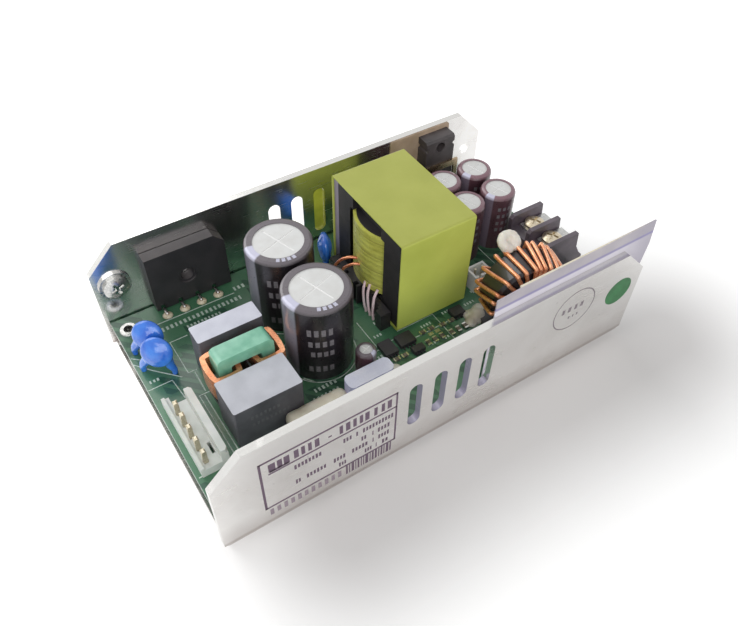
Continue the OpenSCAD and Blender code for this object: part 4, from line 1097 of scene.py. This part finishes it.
def chip_detail():
    """Chip resistors and capacitors in the open strip, bodies between plated ends."""
    top = corners("board")[1].z
    front = corners("bracket")[0].y + SHEET
    rows = [(-2.4, 13.2, 3, 2.2, 90), (-3.2, 17.2, 2, 2.6, 0), (7.4, 17.4, 3, 2.3, 90),
            (8, 21.2, 2, 2.9, 0),
            (6, 13.2, 3, 3.1, 0), (15.4, 13.4, 2, 2.6, 0), (15, 17, 3, 2.3, 90),
            (14.4, 20.6, 2, 3, 0)]
    spots = [(x + k * step, front + y, top + 0.32, turn) for x, y, count, step,
             turn in rows for k in range(count)]
    body = plain("chip_body", (120, 110, 98), (70, 66, 64), blotch=1.4 * MM, rough=(0.35, 0.5))
    mesh = chips.grow("chip_parts_plated", [s[:3] for s in spots], [], {
        "size": [(2 * MM, 1.2 * MM, 0.64 * MM)] * len(spots),
        "turn": [(0, 0, math.radians(s[3])) for s in spots],
    }, Body=body, Ends=LOOKS["tinned_lead"])
    piece("chip_parts_plated", mesh, ("chip_parts",))


chip_detail()


def capacitor_print():
    """Rows of plain grey bars round the capacitors, and pale bars on two curled lips."""
    rows, pale = [], []

    def mark(to, node, angle, inset, drop, size):
        low, high = corners(node)
        c = (low + high) / 2
        r = (high.x - low.x) / 2 - inset
        to.append(((c.x + r * math.cos(angle), c.y + r * math.sin(angle), high.z - drop), size,
                   (0, 0, angle)))

    for node, turn in (("bulk_sleeve_front", 4.26), ("bulk_sleeve_rear", 4.2)):
        for drop, tall, step, shift in ((7.2, 2.3, 0.2, 0), (11.4, 2, 0.2, 0.02),
                                        (15.2, 1.8, 0.18, 0.05), (21, 2.1, 0.2, 0)):
            for i in range(4):
                mark(rows, node, turn + shift + (i - 1.5) * step, 0, drop, (PRINT_DEEP, 1.1, tall))
        for i in range(4):
            mark(pale, node, turn + 0.3 + (i - 1.5) * 0.19, 1.55, 0, (1.15, 0.9, PRINT_DEEP))
    for k in range(1, 5):
        for drop in (4, 6.6, 9.2, 11.6):
            for i in range(3):
                mark(rows, f"output_sleeve_{k}", 4.5 + (i - 1) * 0.3, 0, drop,
                     (PRINT_DEEP, 0.9, 1.2))
    block_print("capacitor_print", rows, ink("sleeve_print", (122, 118, 122), (100, 96, 101)))
    block_print("capacitor_lip_print", pale, ink("lip_print", (206, 206, 222), (182, 182, 200)))
    rows.clear()
    for node, step, size, fields in (
        ("x_cap_front", 1.15, (0.6, PRINT_DEEP, 1.2), ((4.4, 4.2, 7), (7.2, 4.4, 9))),
        ("x_cap_rear", 1.05, (0.55, PRINT_DEEP, 1), ((2.6, 3.4, 3), (2.6, 8, 3), (2.6, 12.4, 3))),
    ):
        low, high = corners(node)
        for drop, x, count in fields:
            rows += [((low.x + x + i * step, low.y, high.z - drop), size) for i in range(count)]
    block_print("box_print", rows, ink("box_ink", (104, 104, 108), (84, 84, 90)))


capacitor_print()


def slot_tape():
    """A scrap of yellow tape behind two of the cooling slots."""
    wall = corners("bracket")[1]
    x0 = corners("bracket")[0].x
    work = bmesh.new()
    centre, straight = 22.1, 6.05
    for x in (67.75, 75.05):
        outline = [(u, v + math.copysign(straight, v - centre))
                   for u, v in ring_of(x0 + x, centre, 1.8, 48, FULL_TURN / 96)]
        loft(work, [[(u, wall.y - depth, v) for u, v in outline] for depth in (1.0, 1.2)])
    yellow = plain("slot_tape", (206, 208, 84), (184, 190, 66), blotch=4 * MM, rough=(0.3, 0.4))
    skinned("slot_tape", work, yellow, smooth=False)


slot_tape()


# ---- studio

def lamp(name, centre, size, strength, aim):
    data = bpy.data.lights.new(name, "AREA")
    data.shape = "RECTANGLE"
    data.size, data.size_y = size
    data.energy = strength
    made = new_object(name, data)
    made.location = centre
    made.rotation_euler = (Vector(centre) - Vector(aim)).to_track_quat("Z", "Y").to_euler()


def seen_directly(tree):
    """1 for the rays that show a thing to the camera, in a mirror or through glass."""
    path = add_node(tree, "ShaderNodeLightPath").outputs
    total = path["Is Camera Ray"]
    for label in ("Is Glossy Ray", "Is Transmission Ray"):
        total = add_node(tree, "ShaderNodeMath", {0: total, 1: path[label]},
                         operation="MAXIMUM").outputs[0]
    return total


def studio():
    """A pale floor with a painted shadow, its colour and glow darker round the label wall, a white
    world and two lamps.
    """
    half = 4.0
    mesh = bpy.data.meshes.new("floor")
    level = cad_box[0].z - 0.0001
    mesh.from_pydata([(-half, -half, level), (half, -half, level), (half, half, level),
                      (-half, half, level)], [], [(0, 1, 2, 3)])
    floor = new_object("floor", mesh)
    paper = bpy.data.materials.new("studio_paper")
    paper.use_nodes = True
    tree = paper.node_tree
    shader = tree.nodes["Principled BSDF"].inputs
    shader["Roughness"].default_value = 0.9
    shader["Specular IOR Level"].default_value = 0.1
    shader["Emission Color"].default_value = (1, 1, 1, 1)
    # distance from a line on the floor in front of the label wall, which grades the painted shadow
    away = add_node(tree, "ShaderNodeTexCoord").outputs["Object"]
    for operation, value in (("SUBTRACT", (0.02, cad_box[0].y - 0.008, 0)), ("ABSOLUTE", None),
                             ("SUBTRACT", (0.055, 0.0, 9)), ("MAXIMUM", (0, 0, 0)),
                             ("LENGTH", None)):
        sockets = {0: away, 1: value} if value else {0: away}
        step = add_node(tree, "ShaderNodeVectorMath", sockets, operation=operation).outputs
        away = step["Value" if operation == "LENGTH" else "Vector"]
    tone = add_node(tree, "ShaderNodeMapRange", {"From Max": 0.042, "Value": away},
                    interpolation_type="SMOOTHSTEP").outputs["Result"]
    # painted shadow: the floor colour is darker near the label wall
    shadow_paper, far = (0.69, 0.675, 0.67, 1), (0.92, 0.918, 0.915, 1)
    paint = add_node(tree, "ShaderNodeMix", {0: tone, 6: shadow_paper, 7: far}, data_type="RGBA").outputs[2]
    tree.links.new(paint, shader["Base Color"])
    # painted shadow: the floor's glow is also weaker near the label wall
    glow = add_node(tree, "ShaderNodeMapRange", {
        "From Min": 0.008, "From Max": 0.075, "To Max": 0.55, "Value": away}).outputs["Result"]
    glow = add_node(tree, "ShaderNodeMath", {0: seen_directly(tree), 1: glow}, operation="MULTIPLY")
    tree.links.new(glow.outputs[0], shader["Emission Strength"])
    mesh.materials.append(paper)
    world = bpy.data.worlds.new("studio")
    world.use_nodes = True
    bpy.context.scene.world = world
    tree = world.node_tree
    background = tree.nodes["Background"].inputs
    background["Color"].default_value = (1, 1, 1, 1)
    light_on_object, seen = 0.37, 1.0
    strength = add_node(tree, "ShaderNodeMapRange", {
        "To Min": light_on_object, "To Max": seen, "Value": seen_directly(tree)}).outputs["Result"]
    tree.links.new(strength, background["Strength"])
    lamp("key", (-0.24, 0.6, 0.48), (0.8, 0.6), 4.0, (0, 0, 0.01))
    lamp("fill", (-0.28, -0.62, 0.5), (0.8, 0.5), 3.8, (0, 0, 0.03))


studio()
bpy.context.scene.view_settings.view_transform = "Standard"
